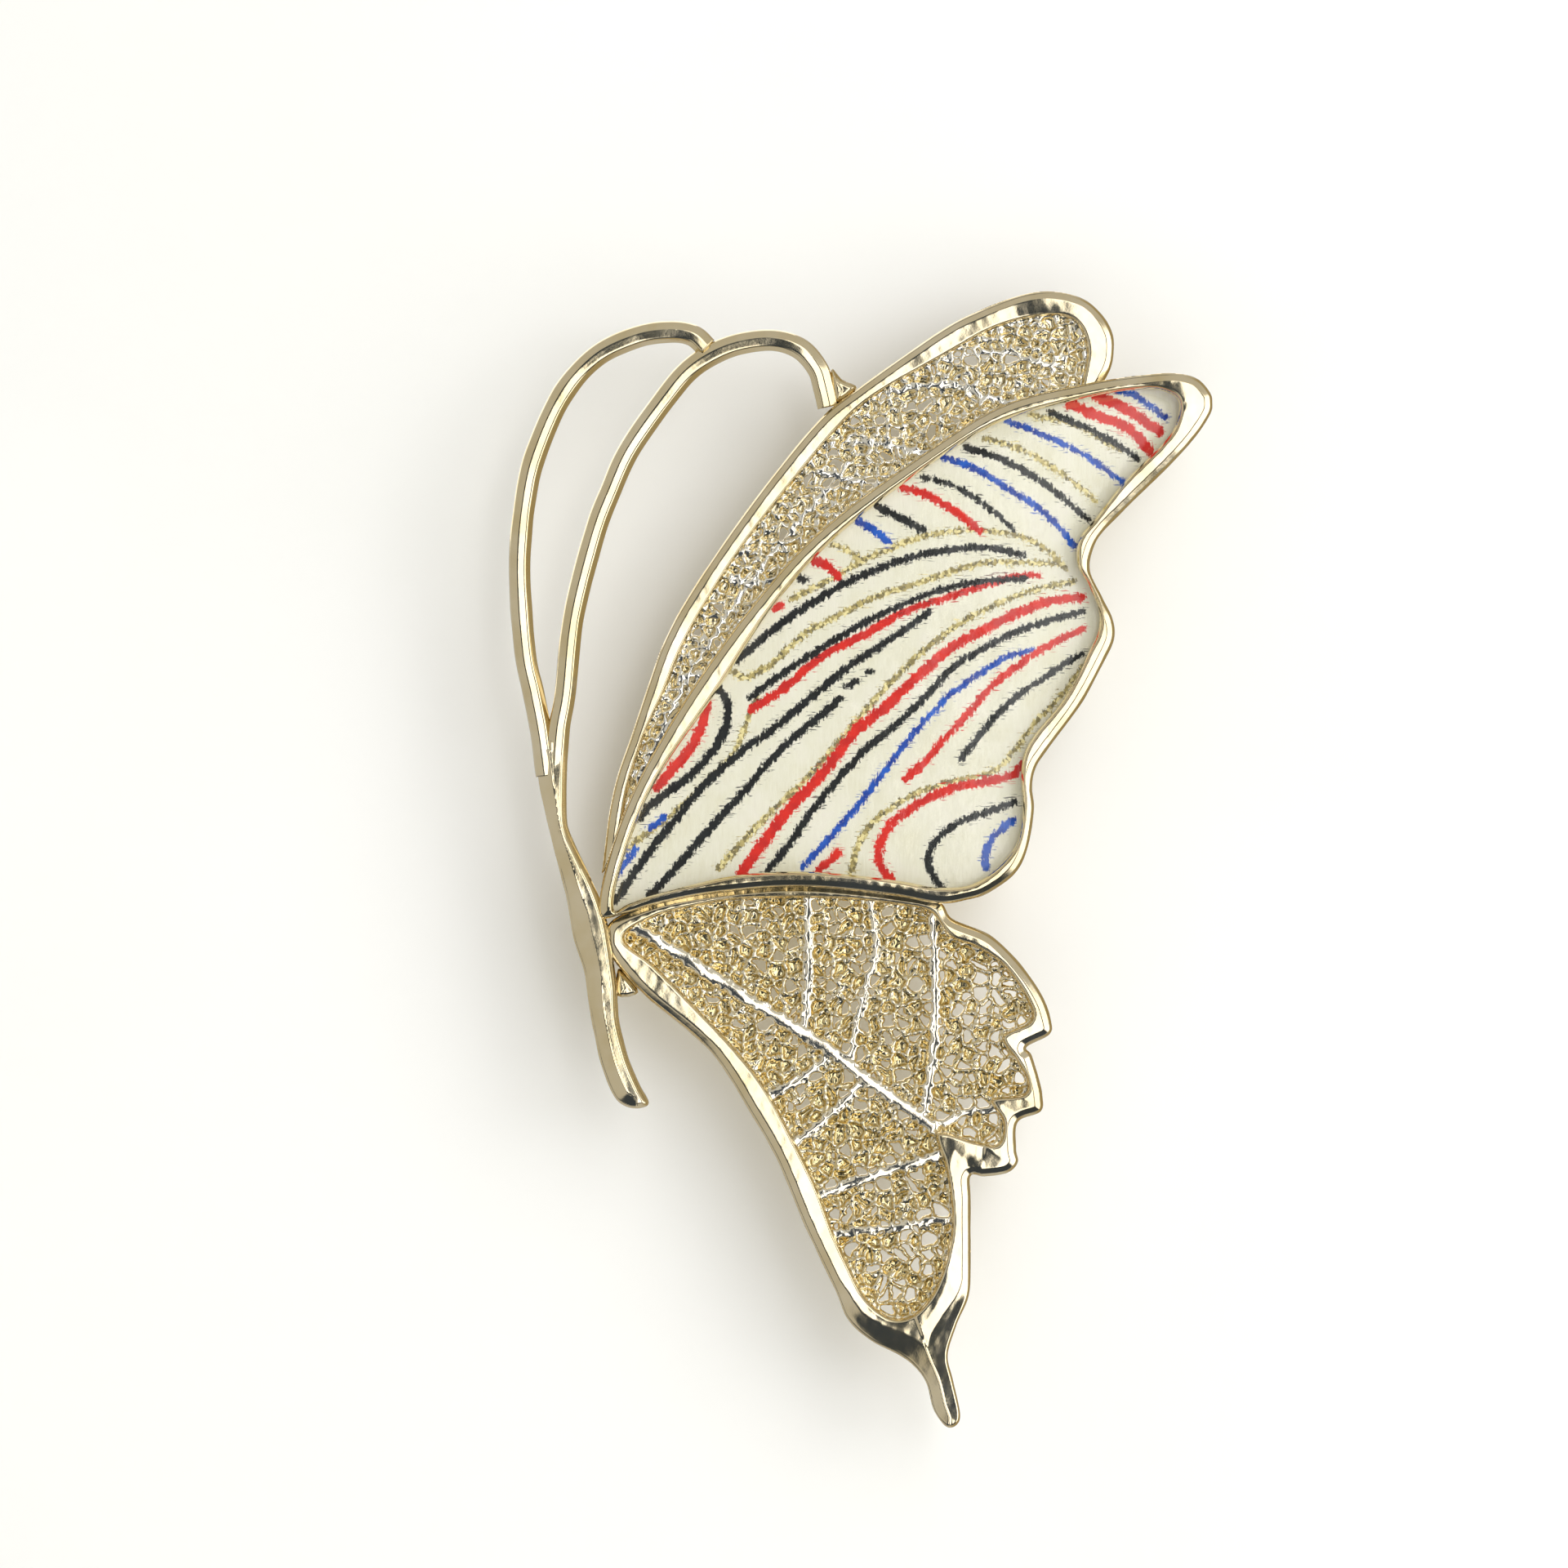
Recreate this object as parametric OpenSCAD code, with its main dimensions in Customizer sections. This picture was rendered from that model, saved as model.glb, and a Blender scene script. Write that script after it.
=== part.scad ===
// Winged-insect costume brooch: openwork gilt wings, one painted wing under a clear dome,
// and a bar pin with a rolling safety catch on the back.
// The face looks towards -Y and the back towards +Y. The origin lies in the plane of the back,
// at the middle of the back bar, where the garment's cloth is held.

/* [Wings] */
// Height of the painted wing's bezel above the back plane
bezel_h = 2.2; // [1.8:0.1:3]
// Height of the rear wing's rim
rear_rim_h = 1.5; // [1.2:0.1:2]
// Height of the hind wing's rim
hind_rim_h = 1.7; // [1.3:0.1:2.2]
// Height over which the top edge of a cast rim is bevelled
rim_bevel = 0.35; // [0.1:0.05:0.5]
// Thickness of the openwork sheet in both gilt wings
lace_t = 0.6; // [0.4:0.05:0.8]
// Distance between the back plane and the openwork sheet
lace_lift = 0.3; // [0:0.05:0.6]
// Spacing of the holes in the openwork
hole_pitch = 1.45; // [1.3:0.05:2]
// Radius of the smallest hole
hole_r_min = 0.26; // [0.15:0.01:0.35]
// Radius of the largest hole
hole_r_max = 0.5; // [0.36:0.01:0.55]
// Height of the raised veins above the openwork
vein_h = 0.55; // [0.3:0.05:0.8]
// Width of the raised veins
vein_w = 0.8; // [0.5:0.05:1]

/* [Painted wing] */
// Thickness of the metal plate that closes the painted wing at the back
plate_t = 0.7; // [0.5:0.05:1]
// Thickness of the painted card that lies on the plate
card_t = 0.3; // [0.15:0.05:0.4]
// Height of the crown of the clear dome above the back plane
dome_top = 2.35; // [2:0.05:3]
// Radius of the dome's curve
dome_r = 200; // [150:10:400]

/* [Body and antennae] */
// Height of the insect's body above the back plane
body_h = 2; // [1.5:0.1:2.6]
// Diameter of the antenna wires
wire_d = 1.24; // [1:0.02:1.28]
// Height of the small webs that tie the wires and the body to the wings
web_h = 1; // [0.6:0.1:1.2]

/* [Pin and catch] */
// Length of the back bar
bar_l = 20; // [18:0.5:20.5]
// Width of the back bar
bar_w = 3.2; // [2.8:0.1:3.6]
// Thickness of the back bar
bar_t = 0.7; // [0.5:0.1:1]
// Distance from the back plane to the axis of the pin
pin_y = 2.7; // [2.6:0.1:3.5]
// Diameter of the pin
pin_d = 0.9; // [0.8:0.02:0.9]
// Distance from the middle of the bar to the hinge
hinge_dx = 7.6; // [7:0.1:7.8]
// Distance from the middle of the bar to the near end of the catch
catch_dx = 7.6; // [7.4:0.1:7.7]
// Length of the catch along the pin
catch_l = 2; // [1.6:0.1:2.2]
// Length of the pin past the far end of the catch
pin_overhang = 1.7; // [1.2:0.1:2]

/* [Hidden] */

gilt = "#d9c48f";
dark_gilt = "#b89a58";
steel = "#b9bcc0";
card_white = "#ece8dc";
clear_tint = "#f4f2ea";

// Points per span of every smooth outline
span_steps = 3;
// Sides of a round wire
wire_sides = 8;
// Facets of small round parts, all true circles
round_fn = 64;
// Facets of the sphere that cuts the dome
dome_fn = 480;
// Middle of the dome's curve on the face
dome_at = [2, 3];
// Metal left between a hole and the edge of its sheet
hole_margin = 0.22;
// Row spacing and random shift of the holes, as parts of their spacing
row_step = 0.87;
hole_shift = 0.3;

// Outlines on the face: x to the right, y up, seen from the front.
// Centre line of the outer antenna wire, from the fork to the inner wire
outer_wire = [[-18.75, -1], [-19, 0.5], [-19.5, 3], [-19.8, 7.9], [-19.4, 12.1], [-18.7, 14.7],
              [-17.3, 17.7], [-15.4, 19.8], [-13.1, 20.9], [-11.2, 21.2], [-9.9, 21.05]];
// Centre line of the inner antenna wire, from the fork over to the rear wing
inner_wire = [[-17.45, -1], [-17.2, 0.5], [-16.7, 5], [-15.5, 9.7], [-14.6, 12.1],
              [-13.5, 14.5], [-11.4, 17.5], [-10, 19.1], [-8.4, 20.1], [-6.8, 20.6],
              [-5.1, 20.7], [-3.7, 20.2], [-2.75, 19.1], [-2.4, 18], [-2.25, 17.35]];
// Outer edge of the rear wing, from its root to where it meets the painted wing
rear_edge = [[-15.1, -9.8], [-14.7, -6.5], [-14.2, -4.2], [-13.4, -1.9], [-12.6, 0.5],
             [-11.6, 3.3], [-10.3, 5.8], [-8, 9.3], [-5.2, 13.1], [-2.6, 16.2], [-0.5, 17.9],
             [4.2, 21.2], [6.5, 22.4], [8.9, 23.3], [10.7, 23.5], [12.4, 23.1], [13.5, 22.2],
             [14.1, 21.1], [14.2, 20.1], [14, 19.1], [13.3, 17.8]];
// Inner edge of the rear wing's rim, where the openwork starts
rear_inner = [[-13.9, -7], [-13.5, -4.7], [-12.6, -1.9], [-11.5, 0.5], [-10.5, 3], [-9.1, 5.6],
              [-6.9, 9], [-4.1, 12.6], [-1.4, 15.8], [0.7, 17.6], [4.7, 19.9], [7, 21.2],
              [9.1, 21.9], [11, 22.1], [12, 21.7], [12.5, 20.8], [12.6, 19.6], [12.2, 17.6]];
// A way back under the painted wing, which closes both lists above
under_wing = [[9, 15], [0, 9], [-6, 2], [-11, -6]];
// Outer edge of the painted wing's bezel
bezel_edge = [[-15.2, -12.1], [-14.7, -8.9], [-13.1, -4.7], [-10.1, 0.5], [-6.5, 5.5],
              [-2.6, 9.8], [3.3, 14.2], [7.9, 17], [12.6, 18.2], [15.9, 18.7], [17.7, 18.8],
              [18.9, 18.5], [19.6, 17.8], [19.8, 17.2], [19.6, 16.3], [18.2, 14.4],
              [15.3, 11.5], [13.7, 9.9], [13, 8.8], [12.8, 7.5], [13.5, 6], [14.1, 4.8],
              [14.2, 3.7], [13.7, 2.5], [12.3, -0.1], [10.3, -2.8], [9.7, -3.8], [9.5, -4.9],
              [9.6, -6.2], [9.2, -8.5], [8.4, -9.9], [7, -10.9], [5.8, -11.3], [4.2, -11.5],
              [1.9, -11.1], [-0.5, -10.8], [-2.8, -10.6], [-5.1, -10.6], [-7.5, -10.8],
              [-9.8, -11.1], [-12.1, -11.6], [-13.8, -12.1]];
// Inner edge of the bezel, which holds the card and the dome
inlay_edge = [[-14.4, -11.8], [-13.9, -9.2], [-12.1, -4.7], [-8.6, 0.5], [-5.2, 5.6],
              [-1.3, 9.8], [4.3, 14], [7.9, 16.1], [12.6, 17.4], [15.9, 17.9], [17.3, 17.7],
              [17.9, 17.1], [17.7, 15.8], [16.8, 14.6], [14.7, 12.5], [13.2, 10.6],
              [12.2, 9.3], [12.1, 7.9], [12.7, 6.8], [13.3, 5.4], [13.3, 4.1], [12.7, 2.8],
              [11.4, 0.3], [9.5, -2.1], [8.9, -3.7], [9, -5.8], [8.7, -7.9], [7.6, -9.4],
              [6.1, -10.4], [4.2, -10.6], [1.9, -10.2], [-0.5, -9.9], [-2.8, -9.7],
              [-5.1, -9.7], [-7.5, -9.9], [-9.8, -10.4], [-12.1, -11], [-13.5, -11.5]];
// Outer edge of the hind wing: along the bezel, down the three scallops, round the tail
hind_edge = [[-14.9, -13.5], [-14.4, -12.4], [-12.1, -11.4], [-9.8, -10.9], [-7.5, -10.6],
             [-5.1, -10.4], [-2.8, -10.4], [-0.5, -10.6], [1.9, -10.9], [4.2, -11.4],
             [5, -12.4], [7.1, -13.3], [8.7, -14.8], [10, -16.6], [10.6, -18.2], [10.5, -19],
             [9.2, -19.7], [9.5, -20.2], [9.9, -21.5], [10.1, -22.5], [10, -23.4],
             [8.7, -24], [8.6, -25.5], [8.7, -26.3], [8.1, -26.9], [6.8, -27.1], [6, -27.1],
             [6, -28.5], [6, -32.1], [5.9, -33.9], [5.2, -35.6], [4.7, -37.3], [5, -38.8],
             [5.4, -40.6], [5.2, -41.3], [4.6, -41.4], [3.9, -40.5], [3.5, -39], [2.8, -38],
             [1.9, -37.3], [0.3, -36.5], [-1, -35.3], [-1.8, -33.5], [-3.5, -29.9],
             [-5.1, -26.1], [-6.7, -23.3], [-8.3, -20.7], [-9.8, -19.1], [-12.6, -16.8],
             [-14.5, -14.6]];
// Inner edge of the hind wing's rim, where the openwork starts
hind_inner = [[-13.8, -13.5], [-12.1, -12.3], [-9.8, -11.7], [-7.5, -11.3], [-5.1, -11.2],
              [-2.8, -11.2], [-0.5, -11.3], [1.9, -11.6], [3.7, -12], [4.8, -13.4],
              [6.3, -14], [7.9, -15.1], [9.2, -17], [9.4, -18.2], [7.8, -19.1],
              [8.6, -20.5], [9.2, -21.6], [9, -22.4], [7.2, -22.7], [7.8, -23.9],
              [7.8, -24.8], [7.4, -25.3], [6.3, -25.1], [4.1, -24.6], [4.5, -26.4],
              [4.8, -28], [4.9, -30.1], [4.4, -32.4], [3.6, -34.1], [2.5, -35.1],
              [1.3, -35.1], [0, -34], [-1, -32.1], [-1.9, -30.1], [-2.8, -27.7],
              [-4.1, -25], [-5.8, -21.9], [-7.7, -19.5], [-9.8, -17.3], [-12.1, -15]];
// Outline of the insect's body, from the fork of the antennae to the tip of the tail
body_edge = [[-19.35, -1.1], [-18.9, -3.3], [-18.6, -5.1], [-18.2, -6.9], [-17.7, -8.9],
             [-17.1, -11.2], [-16.7, -13.5], [-16.1, -15.4], [-15.8, -17.5], [-15.5, -19.1],
             [-15.1, -20.8], [-14.4, -22.5], [-13.7, -23.1], [-12.9, -23.2], [-12.4, -22.9],
             [-12.9, -21.9], [-13.5, -20.5], [-14.1, -18.2], [-14.2, -16.4],
             [-14.4, -14.9], [-14.6, -13.5], [-14.9, -12.1], [-15.5, -10.5], [-16.2, -9],
             [-16.9, -7.5], [-17.1, -6.5], [-17.1, -4.7], [-16.85, -1.1]];
// Web between the inner wire's end and the rear wing
antenna_web_edge = [[-1.85, 19], [-1.35, 18.5], [-0.6, 18.05], [-1.55, 17.25], [-1.6, 17.7],
                    [-1.8, 18.4]];
// Web between the body and the hind wing
stem_web_edge = [[-14.05, -15.55], [-13.95, -15.6], [-13.05, -16.6], [-14.05, -16.7]];
// Raised veins of the hind wing
veins = [[[-11.6, -13.8], [-8.4, -15.9], [-2.8, -19.4], [0, -21.5], [3.3, -23.8]],
         [[-3.3, -11.7], [-3.3, -16], [-3.4, -18.3]],
         [[0.3, -12.3], [0.6, -14], [0.2, -15.7], [-0.7, -19.7]],
         [[3.9, -13.1], [4, -17], [3.9, -19.9], [3.4, -22.9]],
         [[-5.1, -22.3], [-2.6, -20.7]],
         [[-3.5, -24.8], [-0.5, -22.2]],
         [[-2.2, -28.1], [0, -27.2], [3.9, -26]],
         [[-1.3, -30.3], [4, -29.7]]];

// Pin and catch, measured from the middle of the bar
pin_r = pin_d / 2;
hinge_x = -hinge_dx;
catch_end = catch_dx + catch_l;
knuckle_r = 1;
knuckle_w = 1.3;
// Clearance between the knuckle and each ear
ear_gap = 0.1;
ear_t = 0.5;
bracket_base_t = 0.4;
bracket_l = 3;
rivet_r = 0.4;
rivet_head_r = 0.7;
rivet_head_t = 0.25;
// Clearances of the rivet in the ears, and of the knuckle on the rivet
ear_fit = 0.02;
knuckle_fit = 0.05;
// The root of the pin tapers from the knuckle to its running diameter
root_r = 0.6;
root_start = 0.95;
root_l = 0.85;
root_overlap = 0.3;
root_x = hinge_x + root_start;
free_x = root_x + root_l;
// The pin thins evenly from just before the catch, and then comes to its point
taper_lead = 0.6;
taper_share = 0.78;
taper_x = catch_dx - taper_lead;
tip_r = taper_share * pin_r;
point_l = 1.5;
point_r = 0.05;
// Catch: an open tube, and a rolling sleeve with a lever inside it
tube_r = 1.5;
bore_r = 1.12;
sleeve_r = 1.05;
sleeve_bore_r = pin_r + 0.1;
slot_w = 1.1;
// Opening of the tube, in degrees from straight back towards up
tube_open_from = -38;
tube_open_to = 98;
// The lever's direction while the pin is free to leave
lever_at = 72;
lever_t = 0.5;
lever_r = 2.6;
lever_l = 1.4;
foot_w = 2.2;
foot_t = 0.35;
// Length that a cutter runs past each end, and how far the lever sinks into its sleeve
cut_past = 1;
lever_sink = 0.2;
// Side of the block that squares off the body's top, and the height where it does
neck_block = 25;
neck_y = -1.13;

// Point on a smooth curve from b to c, with a before and d after, at t from 0 to 1
function bend(a, b, c, d, t) =
    0.5 * (2 * b + (c - a) * t + (2 * a - 5 * b + 4 * c - d) * t * t
           + (3 * b - 3 * c + d - a) * t * t * t);

// Smooth closed curve through a list of points
function loop(p, n = span_steps) =
    let (m = len(p))
    [for (i = [0:m - 1], k = [0:n - 1])
        bend(p[(i + m - 1) % m], p[i], p[(i + 1) % m], p[(i + 2) % m], k / n)];

// Smooth open curve through a list of points
function strand(p, n = span_steps) =
    let (m = len(p))
    [for (i = [0:m - 2], k = [0:(i == m - 2 ? n : n - 1)])
        bend(p[max(i - 1, 0)], p[i], p[i + 1], p[min(i + 2, m - 1)], k / n)];

// Unit vector along a path at point i
function along(p, i) =
    let (d = p[min(i + 1, len(p) - 1)] - p[max(i - 1, 0)]) d / norm(d);

// Distance from point q to the segment a-b
function to_segment(q, a, b) =
    let (d = b - a, t = min(1, max(0, ((q - a) * d) / (d * d)))) norm(q - a - t * d);

// Distance from point q to the nearest side of an outline
function to_edge(q, p) =
    min([for (i = [0:len(p) - 1]) to_segment(q, p[i], p[(i + 1) % len(p)])]);

// True where point q lies inside an outline, by counting the sides above it
function inside(q, p) =
    let (hits = [for (i = [0:len(p) - 1])
                    let (a = p[i], b = p[(i + 1) % len(p)])
                    if ((a[0] > q[0]) != (b[0] > q[0])
                        && q[1] < a[1] + (q[0] - a[0]) * (b[1] - a[1]) / (b[0] - a[0])) 1])
    len(hits) % 2 == 1;

bezel_path = loop(bezel_edge);
inlay_path = loop(inlay_edge);
hind_path = loop(hind_edge);
hind_inner_path = loop(hind_inner);
rear_path = concat(strand(rear_edge), under_wing);
rear_inner_path = concat(strand(rear_inner), under_wing);

// Everything drawn on the face is stood upright with its height towards -Y
module upright() {
    rotate([90, 0, 0]) children();
}

// A cast piece: straight sides, then a set-in top layer that stands for the rounded edge
module cast(h) {
    linear_extrude(h - rim_bevel) children();
    translate([0, 0, h - rim_bevel]) linear_extrude(rim_bevel) offset(delta = -rim_bevel) children();
}

// A round wire along a path on the face, with its centre line at height z
module wire(path, z) {
    r = wire_d / 2;
    n = len(path);
    pts = [for (i = [0:n - 1], k = [0:wire_sides - 1])
              let (d = along(path, i), a = 360 * (k + 0.5) / wire_sides)
              [path[i][0] - d[1] * r * cos(a), path[i][1] + d[0] * r * cos(a), z + r * sin(a)]];
    sides = [for (i = [0:n - 2], k = [0:wire_sides - 1])
                let (j = (k + 1) % wire_sides)
                [i * wire_sides + k, i * wire_sides + j,
                 (i + 1) * wire_sides + j, (i + 1) * wire_sides + k]];
    first = [for (k = [wire_sides - 1:-1:0]) k];
    last = [for (k = [0:wire_sides - 1]) (n - 1) * wire_sides + k];
    polyhedron(pts, concat(sides, [first], [last]), convexity = 6);
}

// A raised vein: a low ridge with sloping sides along a path, standing on height z
module vein(path, z) {
    half = [[1, 0], [0.8, 0.7], [0.3, 1], [-0.3, 1], [-0.8, 0.7], [-1, 0]];
    m = len(half);
    n = len(path);
    pts = [for (i = [0:n - 1], q = half)
              let (d = along(path, i), w = q[0] * vein_w / 2)
              [path[i][0] - d[1] * w, path[i][1] + d[0] * w, z + q[1] * vein_h]];
    sides = [for (i = [0:n - 2], k = [0:m - 1])
                let (j = (k + 1) % m)
                [i * m + k, i * m + j, (i + 1) * m + j, (i + 1) * m + k]];
    first = [for (k = [m - 1:-1:0]) k];
    last = [for (k = [0:m - 1]) (n - 1) * m + k];
    polyhedron(pts, concat(sides, [first], [last]), convexity = 6);
}

// Holes of the openwork: a staggered grid of six-sided holes, each moved, turned and sized a
// little at random, and kept clear of the edges in keep and outside of the outline in avoid
module holes(keep, avoid, low, high, seed) {
    cols = ceil((high[0] - low[0]) / hole_pitch);
    rows = ceil((high[1] - low[1]) / (hole_pitch * row_step));
    luck = rands(0, 1, 4 * (cols + 1) * (rows + 1), seed);
    shift = hole_shift * hole_pitch;
    for (i = [0:cols], j = [0:rows]) {
        k = 4 * (i * (rows + 1) + j);
        stagger = (j % 2) / 2;
        x = low[0] + (i + stagger) * hole_pitch + shift * (luck[k] - 0.5);
        y = low[1] + j * row_step * hole_pitch + shift * (luck[k + 1] - 0.5);
        r = hole_r_min + (hole_r_max - hole_r_min) * luck[k + 2];
        q = [x, y];
        clear = inside(q, keep) && to_edge(q, keep) > r + hole_margin
                && !inside(q, avoid) && to_edge(q, avoid) > r + hole_margin;
        if (clear) translate(q) rotate(60 * luck[k + 3]) circle(r, $fn = 6);
    }
}

// Insect's body and the stem that carries both antennae
module body_stem() {
    color(gilt) upright() cast(body_h) difference() {
        polygon(loop(body_edge));
        polygon(bezel_path);
        polygon(hind_path);
        translate([-neck_block, neck_y]) square(neck_block);
    }
}

module antenna_outer() {
    color(gilt) upright() wire(strand(outer_wire), wire_d / 2);
}

module antenna_inner() {
    color(gilt) upright() wire(strand(inner_wire), wire_d / 2);
}

module antenna_web() {
    color(gilt) upright() linear_extrude(web_h) polygon(antenna_web_edge);
}

module stem_web() {
    color(gilt) upright() linear_extrude(web_h) polygon(stem_web_edge);
}

// Rear wing: a rim outside, an openwork sheet inside, both ending at the painted wing
module rear_wing_rim() {
    color(gilt) upright() cast(rear_rim_h) difference() {
        polygon(rear_path);
        polygon(rear_inner_path);
        polygon(bezel_path);
    }
}

module rear_wing_lace() {
    color(dark_gilt) upright() translate([0, 0, lace_lift]) linear_extrude(lace_t) difference() {
        polygon(rear_inner_path);
        polygon(bezel_path);
        holes(rear_inner_path, bezel_path, [-14, -8], [14, 24], 11);
    }
}

// Painted wing: bezel, back plate, painted card and clear dome
module painted_wing_bezel() {
    color(gilt) upright() cast(bezel_h) difference() {
        polygon(bezel_path);
        polygon(inlay_path);
    }
}

module painted_wing_plate() {
    color(gilt) upright() linear_extrude(plate_t) polygon(inlay_path);
}

module painted_card() {
    color(card_white) upright() translate([0, 0, plate_t]) linear_extrude(card_t) polygon(inlay_path);
}

module clear_dome() {
    base = plate_t + card_t;
    color(clear_tint, 0.5) upright() intersection() {
        translate([0, 0, base]) linear_extrude(dome_top - base) polygon(inlay_path);
        translate([dome_at[0], dome_at[1], dome_top - dome_r]) sphere(dome_r, $fn = dome_fn);
    }
}

// Hind wing: scalloped rim with its tail, openwork sheet, and raised veins on it
module hind_wing_rim() {
    color(gilt) upright() cast(hind_rim_h) difference() {
        polygon(hind_path);
        polygon(hind_inner_path);
        polygon(bezel_path);
    }
}

module hind_wing_lace() {
    color(dark_gilt) upright() translate([0, 0, lace_lift]) linear_extrude(lace_t) difference() {
        polygon(hind_inner_path);
        holes(hind_inner_path, bezel_path, [-14, -36], [10, -11], 23);
    }
}

module hind_wing_veins() {
    color(gilt) upright() for (v = veins) vein(strand(v), lace_lift + lace_t);
}

// Back bar: a flat strip with round ends, soldered across the painted wing
module back_bar() {
    end_x = bar_l / 2 - bar_w / 2;
    color(gilt) rotate([-90, 0, 0]) {
        translate([-end_x, -bar_w / 2, 0]) cube([2 * end_x, bar_w, bar_t]);
        for (x = [-end_x, end_x]) translate([x, 0, 0]) cylinder(h = bar_t, d = bar_w, $fn = round_fn);
    }
}

// Hinge bracket: a base and two ears, bored for the rivet
module hinge_bracket() {
    inner_z = knuckle_w / 2 + ear_gap;
    outer_z = inner_z + ear_t;
    base_y = bar_t + bracket_base_t;
    color(gilt) difference() {
        union() {
            translate([hinge_x - bracket_l / 2, bar_t, -outer_z])
                cube([bracket_l, bracket_base_t, 2 * outer_z]);
            for (z = [-outer_z, inner_z]) {
                translate([hinge_x - knuckle_r, base_y, z]) cube([2 * knuckle_r, pin_y - base_y, ear_t]);
                translate([hinge_x, pin_y, z]) cylinder(h = ear_t, r = knuckle_r, $fn = round_fn);
            }
        }
        translate([hinge_x, pin_y, -2 * outer_z])
            cylinder(h = 4 * outer_z, r = rivet_r + ear_fit, $fn = round_fn);
    }
}

// Hinge rivet: a plain shank with a low head at each end
module hinge_rivet() {
    outer_z = knuckle_w / 2 + ear_gap + ear_t;
    color(steel) translate([hinge_x, pin_y, 0]) {
        cylinder(h = 2 * outer_z, r = rivet_r, center = true, $fn = round_fn);
        for (s = [-1, 1]) translate([0, 0, s * (outer_z + rivet_head_t / 2)])
            cylinder(h = rivet_head_t, r = rivet_head_r, center = true, $fn = round_fn);
    }
}

// A round length of the pin between two places along x, which may taper
module pin_length(x1, x2, r1, r2) {
    translate([x1, pin_y, 0]) rotate([0, 90, 0]) cylinder(h = x2 - x1, r1 = r1, r2 = r2, $fn = round_fn);
}

// Pin: a bored knuckle, a tapered root, the running length, a slow taper and a point
module pin_stem() {
    point_x = catch_end + pin_overhang - point_l;
    color(steel) {
        difference() {
            union() {
                translate([hinge_x, pin_y, 0])
                    cylinder(h = knuckle_w, r = knuckle_r, center = true, $fn = round_fn);
                pin_length(root_x - root_overlap, free_x, root_r, pin_r);
            }
            translate([hinge_x, pin_y, 0])
                cylinder(h = 2 * knuckle_w, r = rivet_r + knuckle_fit, center = true, $fn = round_fn);
        }
        pin_length(free_x, taper_x, pin_r, pin_r);
        pin_length(taper_x, point_x, pin_r, tip_r);
        pin_length(point_x, point_x + point_l, tip_r, point_r);
    }
}

// A wedge of space around the pin's axis between two angles, from straight back towards up
module wedge(from, to, r, l) {
    steps = 8;
    rim = [for (k = [0:steps]) let (a = from + (to - from) * k / steps) r * [cos(a), sin(a)]];
    rotate([90, 0, 90]) linear_extrude(l) polygon(concat([[0, 0]], rim));
}

// Catch base: an open tube on a foot
module catch_base() {
    color(gilt) difference() {
        union() {
            translate([catch_dx, bar_t, -foot_w / 2]) cube([catch_l, foot_t, foot_w]);
            translate([catch_dx, bar_t, -tube_r / 2]) cube([catch_l, pin_y - bore_r - bar_t, tube_r]);
            translate([catch_dx, pin_y, 0]) rotate([0, 90, 0])
                cylinder(h = catch_l, r = tube_r, $fn = round_fn);
        }
        translate([catch_dx - cut_past, pin_y, 0]) rotate([0, 90, 0])
            cylinder(h = catch_l + 2 * cut_past, r = bore_r, $fn = round_fn);
        translate([catch_dx - cut_past, pin_y, 0])
            wedge(tube_open_from, tube_open_to, 2 * tube_r, catch_l + 2 * cut_past);
    }
}

// Catch rotor: a slotted sleeve that rolls in the tube, with a lever to turn it
module catch_rotor() {
    color(steel) translate([catch_dx, pin_y, 0]) difference() {
        union() {
            rotate([0, 90, 0]) cylinder(h = catch_l, r = sleeve_r, $fn = round_fn);
            rotate([lever_at, 0, 0])
                translate([(catch_l - lever_l) / 2, sleeve_r - lever_sink, -lever_t / 2])
                    cube([lever_l, lever_r - sleeve_r + lever_sink, lever_t]);
        }
        translate([-cut_past, 0, 0]) rotate([0, 90, 0])
            cylinder(h = catch_l + 2 * cut_past, r = sleeve_bore_r, $fn = round_fn);
        translate([-cut_past, 0, -slot_w / 2]) cube([catch_l + 2 * cut_past, 2 * sleeve_r, slot_w]);
    }
}

body_stem();
antenna_outer();
antenna_inner();
antenna_web();
rear_wing_rim();
rear_wing_lace();
painted_wing_bezel();
painted_wing_plate();
painted_card();
clear_dome();
hind_wing_rim();
hind_wing_lace();
hind_wing_veins();
stem_web();
back_bar();
hinge_bracket();
hinge_rivet();
pin_stem();
catch_base();
catch_rotor();
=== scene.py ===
"""A cast insect brooch with openwork wings, a drawn and resin-covered forewing, and a pin and catch on its back."""

import bmesh
import bpy
import numpy as np
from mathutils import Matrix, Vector


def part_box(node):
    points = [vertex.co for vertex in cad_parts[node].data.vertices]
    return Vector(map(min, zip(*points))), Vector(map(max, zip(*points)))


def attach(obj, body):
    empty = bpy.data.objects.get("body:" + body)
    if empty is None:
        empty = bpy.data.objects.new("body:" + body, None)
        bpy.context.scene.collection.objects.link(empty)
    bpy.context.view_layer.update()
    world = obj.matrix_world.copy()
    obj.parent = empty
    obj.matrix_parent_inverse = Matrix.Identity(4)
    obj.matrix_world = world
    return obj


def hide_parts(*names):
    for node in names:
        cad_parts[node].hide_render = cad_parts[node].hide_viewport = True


bl_info = {
    "name": "Insect Brooch",
    "version": (1, 0, 0),
    "blender": (4, 5, 0),
    "location": "View3D > Sidebar > Brooch",
    "description": "Builds a gilt insect brooch with lace wings, a drawn card under clear resin, and its pin and catch",
    "category": "Add Mesh",
}

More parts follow.
